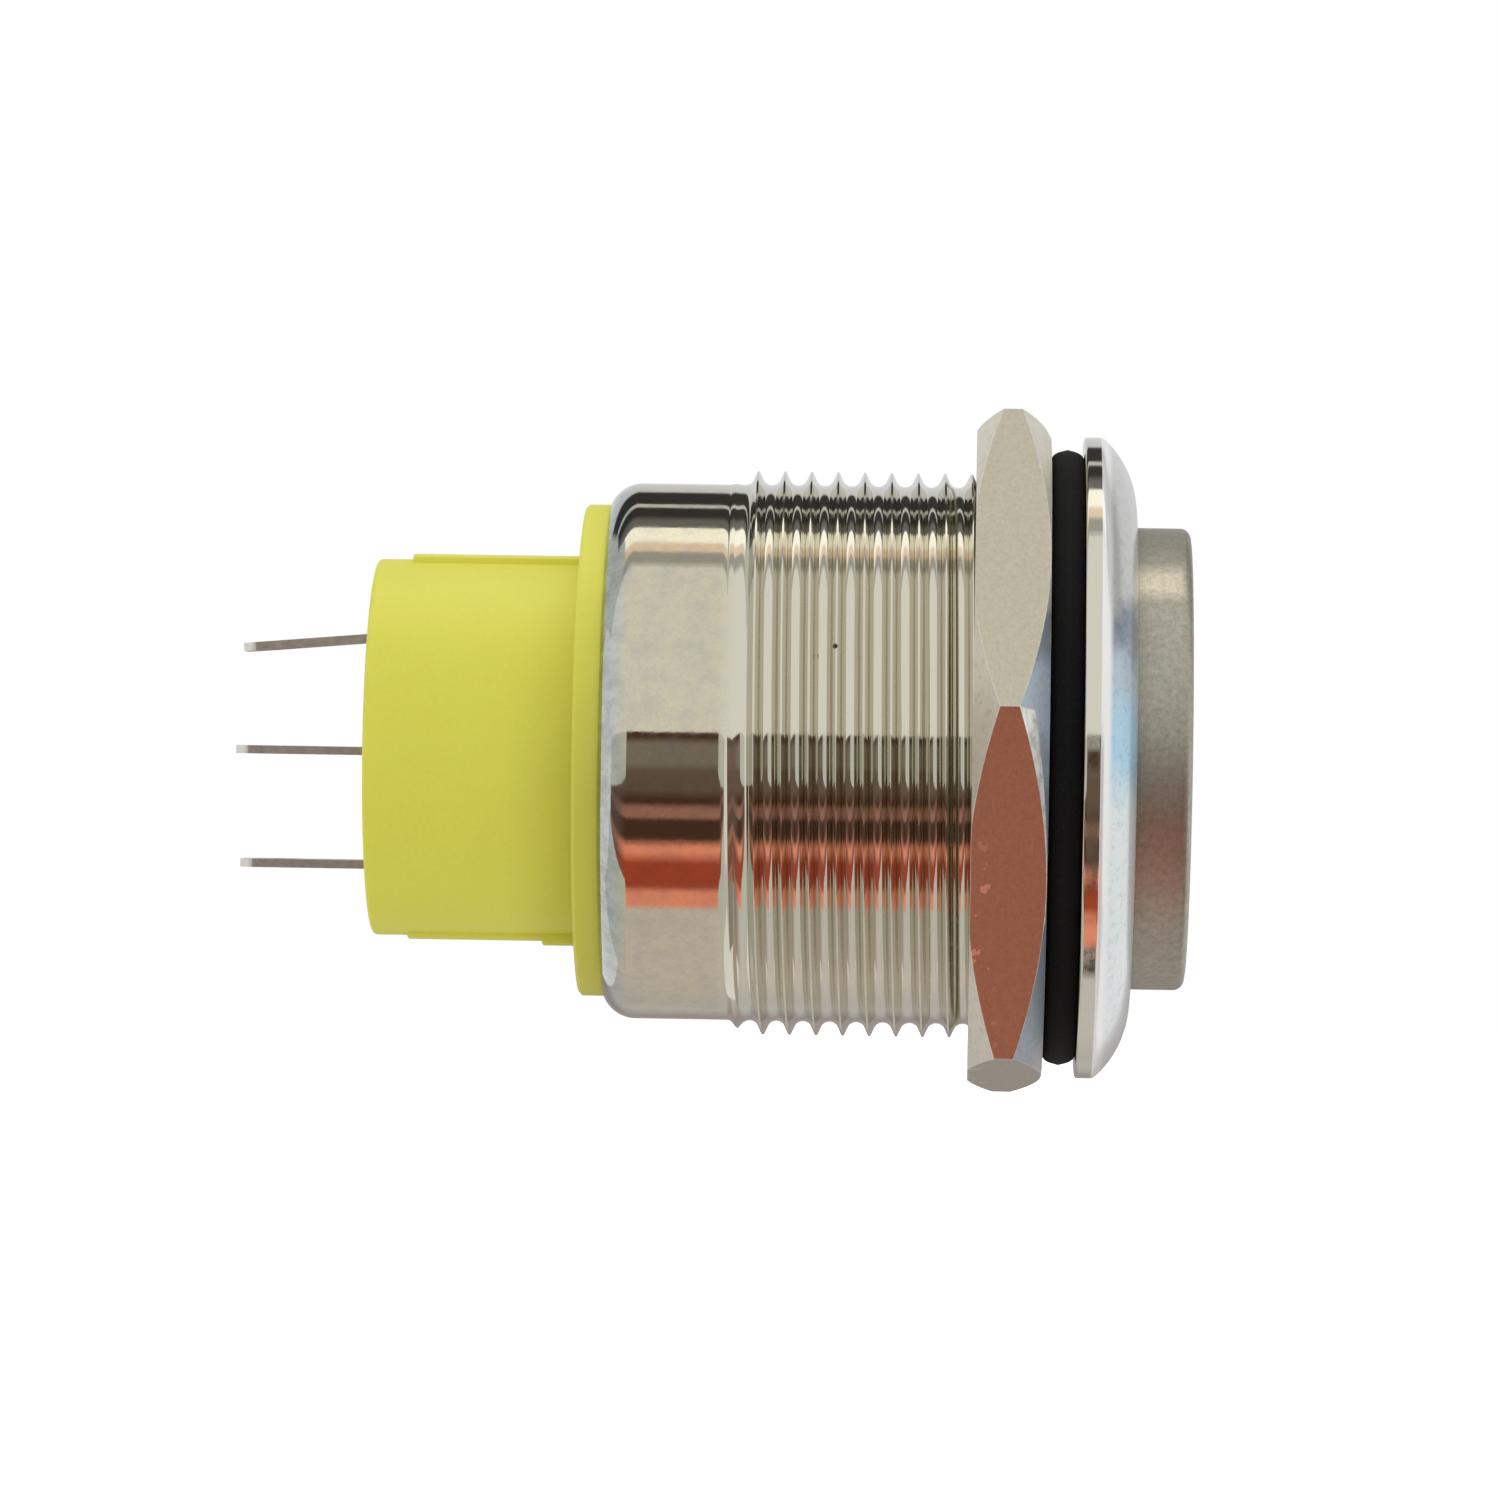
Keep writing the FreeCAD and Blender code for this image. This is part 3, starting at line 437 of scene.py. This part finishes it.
def springWire():
    v = {"colour": (0.5, 0.5, 0.51), "dark": (0.36, 0.35, 0.34), "roughness": (0.2, 0.34)}
    material, shader = newMaterial("springWire", v["colour"], 1.0, v["roughness"][0])
    where = place(material)
    drawn = noise(material, where, 7.0, 4.0, 0.7)
    feed(material, shader, "Roughness", remap(material, drawn, 0.3, 0.7, *v["roughness"]))
    share = ramp(material, drawn, [(0.4, 0.0), (0.7, 0.4)])
    feed(material, shader, "Base Color", blendColour(material, share, v["colour"], v["dark"]))
    return material


def whitePlastic():
    v = {"colour": (0.7, 0.69, 0.63), "shade": (0.62, 0.6, 0.53), "roughness": 0.42}
    material, shader = newMaterial("whitePlastic", v["colour"], 0.0, v["roughness"],
                                   Subsurface_Weight=0.15, Subsurface_Scale=0.0006)
    where = place(material)
    cloud = noise(material, where, 1.1, 5.0, 0.6)
    share = ramp(material, cloud, [(0.35, 0.0), (0.7, 1.0)])
    feed(material, shader, "Base Color", blendColour(material, share, v["colour"], v["shade"]))
    bump(material, shader, noise(material, where, 10.0, 3.0), 0.08, 0.00002)
    return material


def contactSilver():
    v = {"colour": (0.8, 0.79, 0.76), "tarnish": (0.6, 0.56, 0.48), "roughness": (0.16, 0.32)}
    material, shader = newMaterial("contactSilver", v["colour"], 1.0, v["roughness"][0])
    where = place(material)
    film = noise(material, where, 2.5, 4.0, 0.6)
    share = ramp(material, film, [(0.4, 0.0), (0.7, 1.0)])
    feed(material, shader, "Base Color", blendColour(material, share, v["colour"], v["tarnish"]))
    feed(material, shader, "Roughness", remap(material, film, 0.3, 0.7, *v["roughness"]))
    return material


finish = {
    "nickel": polishedNickel(),
    "satin": satinNickel(),
    "dome": paintedReflectionNickel("domeNickel", domeReflectionBands, (0.92, 1.1), 0.13),
    "edge": paintedHighlightEdge(),
    "chamfer": paintedReflectionNickel("chamferNickel", chamferReflectionBands, (-9.0, -8.0), 0.3),
    "rearChamfer": paintedReflectionNickel("rearChamferNickel", rearChamferReflectionBands, (-9.0, -8.0), 0.35),
    "steel": turnedSteel(),
    "rubber": blackRubber(),
    "yellow": yellowPlastic(),
    "brass": dullBrass(),
    "wire": springWire(),
    "white": whitePlastic(),
    "silver": contactSilver(),
}
print("materials made")


# housing with its thread

housingValues = {
    "pitch": 1.038,
    "crestAtTop": -4.357,  # a crest on the upper outline
    "crestR": 11.0,
    "rootR": 10.45,
    "rootRound": 0.36,     # radius of the groove's bottom
    "crestFlat": 0.035,    # half of the flat on each crest
    "turns": 12,
    "turnsBehind": 10.25,  # from the named crest back to the thread's start
    "rearFade": (-13.75, -12.7),
    "frontFade": (-1.6, -2.2),
    "domeStart": (0.8, 12.43),
    "domeEnd": (2.07, 9.6),
    "domeRadius": 3.79,
    "rimRound": 0.27,
    "bareEdge": 0.62,      # the dome's material with painted reflections and a painted highlight starts here
}


def grooveProfile(v):
    # (share of the pitch, height over the root) for one turn, starting on a crest
    half = v["pitch"] / 2
    depth = v["crestR"] - v["rootR"]
    low, high = 0.3, 1.4
    for _ in range(40):
        tilt = (low + high) / 2
        reach = v["rootRound"] * (1 - math.cos(tilt))
        reach += (half - v["crestFlat"] - v["rootRound"] * math.sin(tilt)) * math.tan(tilt)
        low, high = (tilt, high) if reach < depth else (low, tilt)
    # from the crest to the groove's middle
    side = [(v["crestFlat"] * 0.4, depth), (v["crestFlat"] * 1.1, depth - v["crestFlat"] * 0.25)]
    for s in range(6):
        a = tilt * (1 - s / 5)
        side.append((half - v["rootRound"] * math.sin(a), v["rootRound"] * (1 - math.cos(a))))
    whole = side + [(v["pitch"] - x, h) for x, h in reversed(side[:-1])]
    return [(x / v["pitch"], h) for x, h in whole]


def fade(x, start, end):
    t = min(max((x - start) / (end - start), 0), 1)
    return t * t * (3 - 2 * t)


def arcPoints(start, end, radius, steps):
    # points strictly between start and end on an arc that bulges outwards
    a, b = Vector(start), Vector(end)
    middle, run = (a + b) / 2, (b - a)
    side = Vector((-run.y, run.x)).normalized()
    if side.y < 0:
        side = -side
    centre = middle - side * math.sqrt(radius ** 2 - (run.length / 2) ** 2)
    first, last = a - centre, b - centre
    sweep = first.angle_signed(last)
    found = []
    for s in range(1, steps):
        t = -sweep * s / steps
        found.append((centre.x + first.x * math.cos(t) - first.y * math.sin(t),
                      centre.y + first.x * math.sin(t) + first.y * math.cos(t)))
    return found


def makeHousing(v):
    profile = grooveProfile(v)
    n, rows = len(profile), v["turns"] * len(profile)
    startX = v["crestAtTop"] - v["turnsBehind"] * v["pitch"]
    verts, faces, at = [], [], {}

    def threadVertex(i, j):
        share, height = profile[i % n]
        x = startX + (i // n + share + j / columns) * v["pitch"]
        full = fade(x, *v["rearFade"]) * fade(x, *v["frontFade"])
        r = v["rootR"] + height * full
        a = 2 * math.pi * j / columns
        at[i, j] = len(verts)
        verts.append((x * mm, r * mm * math.cos(a), r * mm * math.sin(a)))

    for j in range(columns):
        for i in range(rows + 1 + (n if j == 0 else 0)):
            threadVertex(i, j)
    for i in range(rows + 1):
        at[i, columns] = at[i + n, 0]
    for j in range(columns):
        for i in range(rows):
            faces.append((at[i, j], at[i, j + 1], at[i + 1, j + 1], at[i + 1, j]))

    outline = [(-1.32, 10.45), (-1.25, 10.45), (-0.02, 10.45, 0.02), (0.0, 10.6), (0.0, 12.5, 0.12),
               (0.14, 12.5), (0.58, 12.5), (0.6, 12.5)]
    outline += arcPoints((0.6, 12.5), v["domeStart"], v["rimRound"], 6) + [v["domeStart"]]
    outline += arcPoints(v["domeStart"], v["domeEnd"], v["domeRadius"], 20) + [v["domeEnd"]]
    outline += [(2.09, 9.1, 0.03), (0.6, 9.1), (-1.0, 9.1), (-1.0, 7.5, 0.1), (-1.6, 7.5), (-1.6, 8.45),
                (-2.6, 8.45), (-2.6, 7.5), (-3.2, 7.5, 0.1), (-3.2, 9.2), (-10.0, 9.2), (-18.33, 9.2, 0.1),
                (-18.33, 9.7)]
    tail = arcPoints((-18.33, 9.7), (-17.234, 10.45), 1.33, 12)
    rings = softenCorners(outline) + tail + [(-17.234, 10.45), (-17.2, 10.45), (-16.2, 10.45),
                                            (startX - 0.06, 10.45)]
    starts = []
    for x, r in rings:
        starts.append(len(verts))
        verts.extend(ring(x, r))
    for first, second in zip(starts, starts[1:]):
        faces.extend(bandFaces(first, second))
    front, rear = starts[0], starts[-1]
    for j in range(columns - 1):
        faces.append((rear + j, rear + j + 1, at[0, j + 1], at[0, j]))
        if j:
            faces.append((at[rows, j], at[rows, j + 1], front + j + 1, front + j))
    seam = [at[i, 0] for i in range(n + 1)]
    faces.append((rear + columns - 1, rear, *seam, at[0, columns - 1]))
    seam = [at[i, 0] for i in range(rows + n, rows, -1)]
    faces.append((at[rows, 0], at[rows, 1], front + 1, front, *seam))
    faces.append((at[rows, columns - 1], at[rows + n, 0], front, front + columns - 1))
    slots = []
    for face in faces:
        middle = sum(verts[k][0] for k in face) / len(face) / mm
        outer = min(math.hypot(*verts[k][1:]) for k in face) / mm > 9.11
        slots.append(1 if middle > v["bareEdge"] and outer else 0)
    return finishMesh("housingWithThread", verts, faces, 42, slots)


dress(makeHousing(housingValues), "switch_body", "polished_nickel",
      [finish["nickel"], finish["dome"]], "housing")
print("housing made")


# hexagon nut

nutValues = {
    "frontX": -1.28,
    "rearX": -4.16,
    "acrossFlats": 25.0,
    "turn": 22.5,          # first corner, from straight up towards the viewer
    "frontR": 12.45,
    "rearR": 12.7,
    "chamferAngle": 30.0,
    "boreR": 11.05,
    "threadDepth": 0.55,
    "boreMiddle": -2.7,
    "perFlat": 40,         # facets along each flat
    "highlightStripEnd": 25,        # facets that the painted highlight strip beside the lower flat covers
    "sharp": 12,
    "edge": 0.11,
}


def makeNut(v):
    perFlat = v["perFlat"]
    count = 6 * perFlat
    slope = math.tan(math.radians(v["chamferAngle"]))
    boreR, sink = v["boreR"], v["boreR"] + v["threadDepth"]
    verts, faces, slots = [], [], []
    rows = 12
    for row in range(rows):
        for j in range(count):
            share = j / perFlat
            angle = math.radians(v["turn"] + 60 * share)  # from straight up towards the viewer
            lean = math.radians(60 * (share % 1) - 30)
            flatR = v["acrossFlats"] / 2 / math.cos(lean)
            rearX = v["rearX"] + max(0, flatR - v["rearR"]) * slope
            frontX = v["frontX"] - max(0, flatR - v["frontR"]) * slope
            faceR = min(flatR, v["frontR"])
            run = frontX - rearX
            x, r = [
                (v["rearX"] + v["threadDepth"], boreR), (v["rearX"], sink),
                (v["rearX"], min(flatR, v["rearR"])), (rearX, flatR),
                (rearX + 0.3 * run, flatR), (rearX + 0.7 * run, flatR), (frontX, flatR),
                ((frontX + v["frontX"]) / 2, (flatR + faceR) / 2), (v["frontX"], faceR),
                (v["frontX"], sink), (v["frontX"] - v["threadDepth"], boreR), (v["boreMiddle"], boreR),
            ][row]
            verts.append((x * mm, -r * mm * math.sin(angle), r * mm * math.cos(angle)))
    slotOfRow = [0, 0, 3, 0, 0, 0, 1, 1, 0, 0, 0, 0]  # satin, front chamfer with painted reflection, painted highlight edge, rear chamfer with painted reflection
    for row in range(rows):
        faces.extend(bandFaces(row * count, (row + 1) % rows * count, count))
        slots.extend([slotOfRow[row]] * count)
    for j in range(perFlat, perFlat + v["highlightStripEnd"]):
        slots[6 * count + j] = 2
    nut = finishMesh("hexagonNut", verts, faces, v["sharp"], slots)
    bevel = nut.modifiers.new("softEdges", "BEVEL")
    bevel.width = v["edge"] * mm
    bevel.segments = 2
    bevel.limit_method = "ANGLE"
    bevel.angle_limit = math.radians(v["sharp"])
    bevel.harden_normals = False
    # the bevels take the painted highlight
    bevel.material = 2
    return nut


dress(makeNut(nutValues), "nut", "machined_nickel", [
    finish["satin"], finish["chamfer"], finish["edge"], finish["rearChamfer"]], "hex_nut")
print("nut made")


# rubber rings

sealValues = {"outR": 12.0, "inR": 10.5, "width": 1.25, "flat": 0.5, "ridge": 0.035}


def makePanelSeal(v):
    crown = (v["width"] - v["flat"]) / 2
    low, high = v["inR"] + crown, v["outR"] - crown
    outer = []
    for s in range(15):
        a = math.pi * s / 14
        ridge = v["ridge"] * math.exp(-((s - 7) / 0.8) ** 2)
        outer.append((-v["width"] / 2 * (1 - math.cos(a)), high + (crown + ridge - v["ridge"]) * math.sin(a)))
    inner = []
    for s in range(9):
        a = math.pi * s / 8
        inner.append((-v["width"] / 2 * (1 + math.cos(a)), low - crown * math.sin(a)))
    return turnedPiece("panelSealRing", outer + inner, 60)


def makeRoundRing(name, x, inner, section):
    middle = inner + section / 2
    outline = []
    for s in range(20):
        a = math.pi * s / 10
        outline.append((x + section / 2 * math.cos(a), middle + section / 2 * math.sin(a)))
    return turnedPiece(name, outline, 60)


dress(makePanelSeal(sealValues), "switch_body", "black_rubber", [finish["rubber"]], "panel_seal_ring")
dress(makeRoundRing("buttonSealRing", -2.1, 7.45, 0.95), "switch_body", "black_rubber", [finish["rubber"]],
      "button_seal_ring")
dress(makeRoundRing("baseSealRing", -17.23, 8.2, 0.9), "switch_body", "black_rubber", [finish["rubber"]],
      "base_seal_ring")
print("rubber rings made")


# button

buttonValues = {
    "faceX": 4.2, "r": 9.0, "edge": 0.4, "headRear": 0.9, "shankR": 7.4, "boreR": 6.2, "innerX": 2.6,
}


def makeButton(v):
    outline = [(v["faceX"], 0.0), (v["faceX"], 3.0), (v["faceX"], 6.0), (v["faceX"], v["r"], v["edge"]),
               (2.6, v["r"]), (v["headRear"], v["r"], 0.12), (v["headRear"], v["shankR"], 0.1),
               (-1.5, v["shankR"]), (-3.25, v["shankR"]), (-3.25, 6.9), (-3.85, 6.9), (-3.85, v["shankR"]),
               (-4.45, v["shankR"], 0.1), (-4.45, v["boreR"]), (0.0, v["boreR"]), (v["innerX"], v["boreR"]),
               (v["innerX"], 0.0)]
    return turnedPiece("pressButton", outline, 35, 6)


dress(makeButton(buttonValues), "button", "brushed_stainless", [finish["steel"]], "button_cap")
print("button made")


# springs

springValues = {
    "returnSpring": {"node": "return_spring", "body": "switch_body", "front": 1.4, "rear": -9.1, "r": 4.2,
                     "wire": 0.8, "turns": 5.5, "z": 0.0, "held": -9.1, "keep": 0.8286},
    "overtravelSpring": {"node": "overtravel_spring", "body": "button", "front": 2.6, "rear": -7.75,
                         "r": 1.205, "wire": 0.35, "turns": 11.0, "z": 0.0, "held": 2.6, "keep": 0.879},
    "armSpring": {"node": "arm_spring", "body": "switch_body", "front": -11.72, "rear": -16.0, "r": 1.0,
                  "wire": 0.3, "turns": 5.0, "z": -2.0535, "held": -16.0, "keep": 0.78},
}


def makeSpring(name, v):
    # the wire's first and last turns lie close against their neighbours and are ground flat
    around, perTurn = 10, 28
    steps = int(v["turns"] * perTurn)
    length = v["front"] - v["rear"] - v["wire"]
    verts, faces = [], []
    spread = []
    total = 0.0
    for s in range(steps + 1):
        turn = s / perTurn
        close = min(turn, v["turns"] - turn)
        spread.append(total)
        total += 0.35 * v["wire"] + (1 - 0.35 * v["wire"]) * fade(close, 0.6, 1.2) if close < 1.2 else 1.0
    for s in range(steps + 1):
        angle = 2 * math.pi * s / perTurn
        x = v["rear"] + v["wire"] / 2 + length * spread[s] / spread[-1]
        for k in range(around):
            a = 2 * math.pi * k / around
            r = v["r"] + v["wire"] / 2 * math.cos(a)
            px = x + v["wire"] / 2 * math.sin(a)
            px = min(max(px, v["rear"] + 0.12 * v["wire"]), v["front"] - 0.12 * v["wire"])
            verts.append((px * mm, r * mm * math.cos(angle), (v["z"] + r * math.sin(angle)) * mm))
    for s in range(steps):
        faces.extend(bandFaces(s * around, (s + 1) * around, around))
    faces.append(tuple(range(around)))
    faces.append(tuple(range(steps * around, (steps + 1) * around)))
    spring = dress(finishMesh(name, verts, faces, 50), v["body"], "spring_steel", [finish["wire"]], v["node"])
    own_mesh(spring)


for springName, springShape in springValues.items():
    makeSpring(springName, springShape)
print("springs made")


# pieces kept from the frame

keptPieces = {
    "terminal_base": "yellow",
    "common_terminal": "brass",
    "normally_closed_terminal": "brass",
    "normally_open_terminal": "brass",
    "contact_arm": "brass",
    "push_pin": "brass",
    "moving_contact": "silver",
    "normally_closed_contact": "silver",
    "normally_open_contact": "silver",
    "plunger": "white",
    "guide_frame": "white",
    "button_retaining_ring": "wire",
}
for nodeName, finishName in keptPieces.items():
    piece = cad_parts[nodeName]
    piece.data.materials.clear()
    piece.data.materials.append(finish[finishName])
print("kept pieces finished")


# studio

studioValues = {
    "floorZ": -36.0,
    "floorSize": 1.4,
    "floorGlow": 0.8,
    "floorColour": 0.8,
    "daylight": 0.88,      # what the room's light gives to plain surfaces
    "cardRadius": 0.42,
    "lowWidth": (-0.75, 0.75),
    "underWidth": (-0.2, 0.2),
    "highWidth": (-0.8, 0.8),
    "cardMiddle": -0.013,
    "rimPart": (0.0045, 0.0098),  # the stretch of the low card that the rim shows
    "beyondEdge": (0.7, 0.73, 0.72),
    "sideTone": (0.2, 0.13, 0.115),
    "overheadPower": 0.3,
    "overheadSize": (0.34, 0.13),
    "overheadReach": 0.46,
    "overheadAngle": 105,  # up from the camera's direction
}
cardTones = {
    "shade": (0.38, 0.34, 0.33),
    "under": (0.64, 0.62, 0.62),
    "table": (0.78, 0.73, 0.72),
    "orange": (1.1, 0.4, 0.28),
    "red": (0.5, 0.09, 0.05),
    "shadow": (0.09, 0.045, 0.03),
    "brown": (0.44, 0.22, 0.18),
    "wood": (0.18, 0.13, 0.1),
    "shelf": (0.27, 0.24, 0.21),
    "grey": (0.5, 0.5, 0.5),
    "peach": (1.15, 0.95, 0.8),
    "bright": (1.5, 1.5, 1.45),
    "dull": (0.2, 0.2, 0.2),
    "black": (0.05, 0.05, 0.05),
    "pale": (0.75, 0.76, 0.78),
}
# (first angle, last angle, tone) up from the camera's direction, with a soft joint between two bands
underBands = [(-180, -160, "shade"), (-145, -135, "under"), (-115, -110, "table")]
lowBands = [
    (-110, -71, "table"), (-68, -62, "orange"), (-59, -48, "red"), (-43, -41, "orange"), (-37, -29, "shadow"),
    (-27.5, -24, "brown"), (-21.5, -20, "shadow"), (-16, -8, "wood"), (-5, 3, "shelf"), (6, 8, "shadow"),
]
highBands = [
    (85, 86, "pale"), (88, 93, "grey"), (95, 99, "peach"), (101, 110, "bright"), (111, 116, "dull"),
    (120, 127.5, "black"), (128.5, 131, "pale"), (132, 146, "black"), (149, 180, "pale"),
]
rimBands = [  # what the flange's rim shows of the low card
    (-110, -85, "pale"), (-80, -72, "shadow"), (-67, -57, "orange"), (-54, -50, "red"), (-47, -46, "shadow"),
    (-40, -23, "wood"), (-18, -9, "wood"), (-2, 2, "shadow"), (4.5, 8, "pale"),
]
lowEdges = [  # (angle, how far the low card reaches to the rear)
    (-110, 0.12), (-90, 0.12), (-78, 0.046), (-66, 0.042), (-60, 0.05), (-56, 0.085), (-50, 0.4), (-42, 0.7),
    (-22, 0.7), (-14.6, 0.22), (-11, 0.06), (-8, 0.045), (8, 0.045),
]
highEdges = [(85, 0.3), (93, 0.2), (110, 0.2), (114, 0.3), (180, 0.3)]


def curvedCard(name, bands, width, rim=None, edges=None):
    # strip round the switch's axis that only its metal faces see
    v = studioValues
    low, high = bands[0][0], bands[-1][1]
    verts, faces = [], []
    steps = 48
    for s in range(steps + 1):
        a = math.radians(low + (high - low) * s / steps)
        for x in width:
            verts.append((x + v["cardMiddle"], -v["cardRadius"] * math.cos(a), v["cardRadius"] * math.sin(a)))
    for s in range(steps):
        faces.append((2 * s, 2 * s + 1, 2 * s + 3, 2 * s + 2))
    mesh = bpy.data.meshes.new(name)
    mesh.from_pydata(verts, [], faces)
    card = bpy.data.objects.new(name, mesh)
    bpy.context.scene.collection.objects.link(card)
    material = bpy.data.materials.new(name)
    material.use_nodes = True
    material.node_tree.nodes.clear()
    coords = addNode(material, "TexCoord")
    parts = addNode(material, "SeparateXYZ", {0: coords.outputs["Object"]})
    forward = addNode(material, "Math", {0: parts.outputs["Y"], 1: -1.0}, operation="MULTIPLY")
    angle = addNode(material, "Math", {0: parts.outputs["Z"], 1: forward.outputs[0]}, operation="ARCTAN2")
    factor = remap(material, angle.outputs[0], math.radians(low), math.radians(high), 0.0, 1.0)

    def toned(stops):
        return ramp(material, factor, [((a - low) / (high - low), colour) for a, colour in stops])

    colour = toned(stopsOf(bands, cardTones))
    if rim:
        along = parts.outputs["X"]
        front = addNode(material, "Math", {0: along, 1: v["rimPart"][0]}, operation="GREATER_THAN").outputs[0]
        back = addNode(material, "Math", {0: along, 1: v["rimPart"][1]}, operation="LESS_THAN").outputs[0]
        both = addNode(material, "Math", {0: front, 1: back}, operation="MULTIPLY").outputs[0]
        colour = blendColour(material, both, colour, toned(stopsOf(rim, cardTones)))
        aside = addNode(material, "Math", {0: along}, operation="ABSOLUTE").outputs[0]
        colour = blendColour(material, remap(material, aside, 0.07, 0.3, 0.0, 0.7), colour, v["sideTone"])
    if edges:
        waves = noise(material, coords.outputs["Object"], 14.0, 3.0, 0.6)
        wobble = remap(material, waves, 0.3, 0.7, -0.96, -1.04)
        reach = addNode(material, "Math", {0: toned(edges), 1: wobble}, operation="MULTIPLY").outputs[0]
        share = addNode(material, "Math", {0: parts.outputs["X"], 1: reach}, operation="DIVIDE").outputs[0]
        colour = blendColour(material, remap(material, share, 0.96, 1.06, 0.0, 1.0), colour, v["beyondEdge"])
    glow = addNode(material, "Emission", {"Color": colour, "Strength": 1.0})
    addNode(material, "OutputMaterial", {"Surface": glow.outputs[0]})
    mesh.materials.append(material)
    for ray in ("camera", "diffuse", "transmission", "volume_scatter", "shadow"):
        setattr(card, "visible_" + ray, False)


def makeStudio(v):
    curvedCard("lowCard", lowBands, v["lowWidth"], rimBands, lowEdges)
    curvedCard("underCard", underBands, v["underWidth"])
    curvedCard("highCard", highBands, v["highWidth"], None, highEdges)

    floor = bpy.data.objects.new("floor", bpy.data.meshes.new("floor"))
    half = v["floorSize"] / 2
    corners = [(-half, -half, 0), (half, -half, 0), (half, half, 0), (-half, half, 0)]
    floor.data.from_pydata(corners, [], [(0, 1, 2, 3)])
    floor.location = (-0.014, 0, v["floorZ"] * mm)
    bpy.context.scene.collection.objects.link(floor)
    material = bpy.data.materials.new("paleFloor")
    material.use_nodes = True
    material.node_tree.nodes.clear()
    seen = seenDirectly(material)
    level = addNode(material, "Math", {0: seen, 1: v["floorGlow"]}, operation="MULTIPLY")
    glow = addNode(material, "Emission", {"Color": (1, 1, 1, 1), "Strength": level.outputs[0]})
    matt = addNode(material, "BsdfDiffuse", {"Color": (v["floorColour"],) * 3 + (1,)})
    both = addNode(material, "AddShader", {0: glow.outputs[0], 1: matt.outputs[0]})
    addNode(material, "OutputMaterial", {"Surface": both.outputs[0]})
    floor.data.materials.append(material)
    floor.visible_glossy = False  # so the metal mirrors the cards below it

    world = bpy.data.worlds.new("paleRoom")
    bpy.context.scene.world = world
    world.use_nodes = True
    world.node_tree.nodes.clear()
    seen = seenDirectly(world)
    level = remap(world, seen, 0.0, 1.0, v["daylight"], 1.0)
    back = addNode(world, "Background", {"Color": (1, 1, 1, 1), "Strength": level})
    addNode(world, "OutputWorld", {"Surface": back.outputs[0]})

    lamp = bpy.data.lights.new("overheadLamp", "AREA")
    lamp.shape = "RECTANGLE"
    lamp.size, lamp.size_y = v["overheadSize"]
    lamp.energy = v["overheadPower"]
    lamp.color = (1.0, 0.99, 0.96)
    lampObject = bpy.data.objects.new("overheadLamp", lamp)
    away = math.radians(v["overheadAngle"])
    reach = v["overheadReach"]
    lampObject.location = (-0.014, -reach * math.cos(away), reach * math.sin(away))
    lampObject.rotation_euler = (math.radians(90 - v["overheadAngle"]), 0, 0)
    bpy.context.scene.collection.objects.link(lampObject)


def seenDirectly(owner):
    # 1 for what the camera sees, straight or in a mirror or through glass
    path = addNode(owner, "LightPath")
    some = addNode(owner, "Math", {0: path.outputs["Is Camera Ray"], 1: path.outputs["Is Glossy Ray"]},
                   operation="MAXIMUM")
    return addNode(owner, "Math", {0: some.outputs[0], 1: path.outputs["Is Transmission Ray"]},
                   operation="MAXIMUM").outputs[0]


makeStudio(studioValues)
print("studio made")
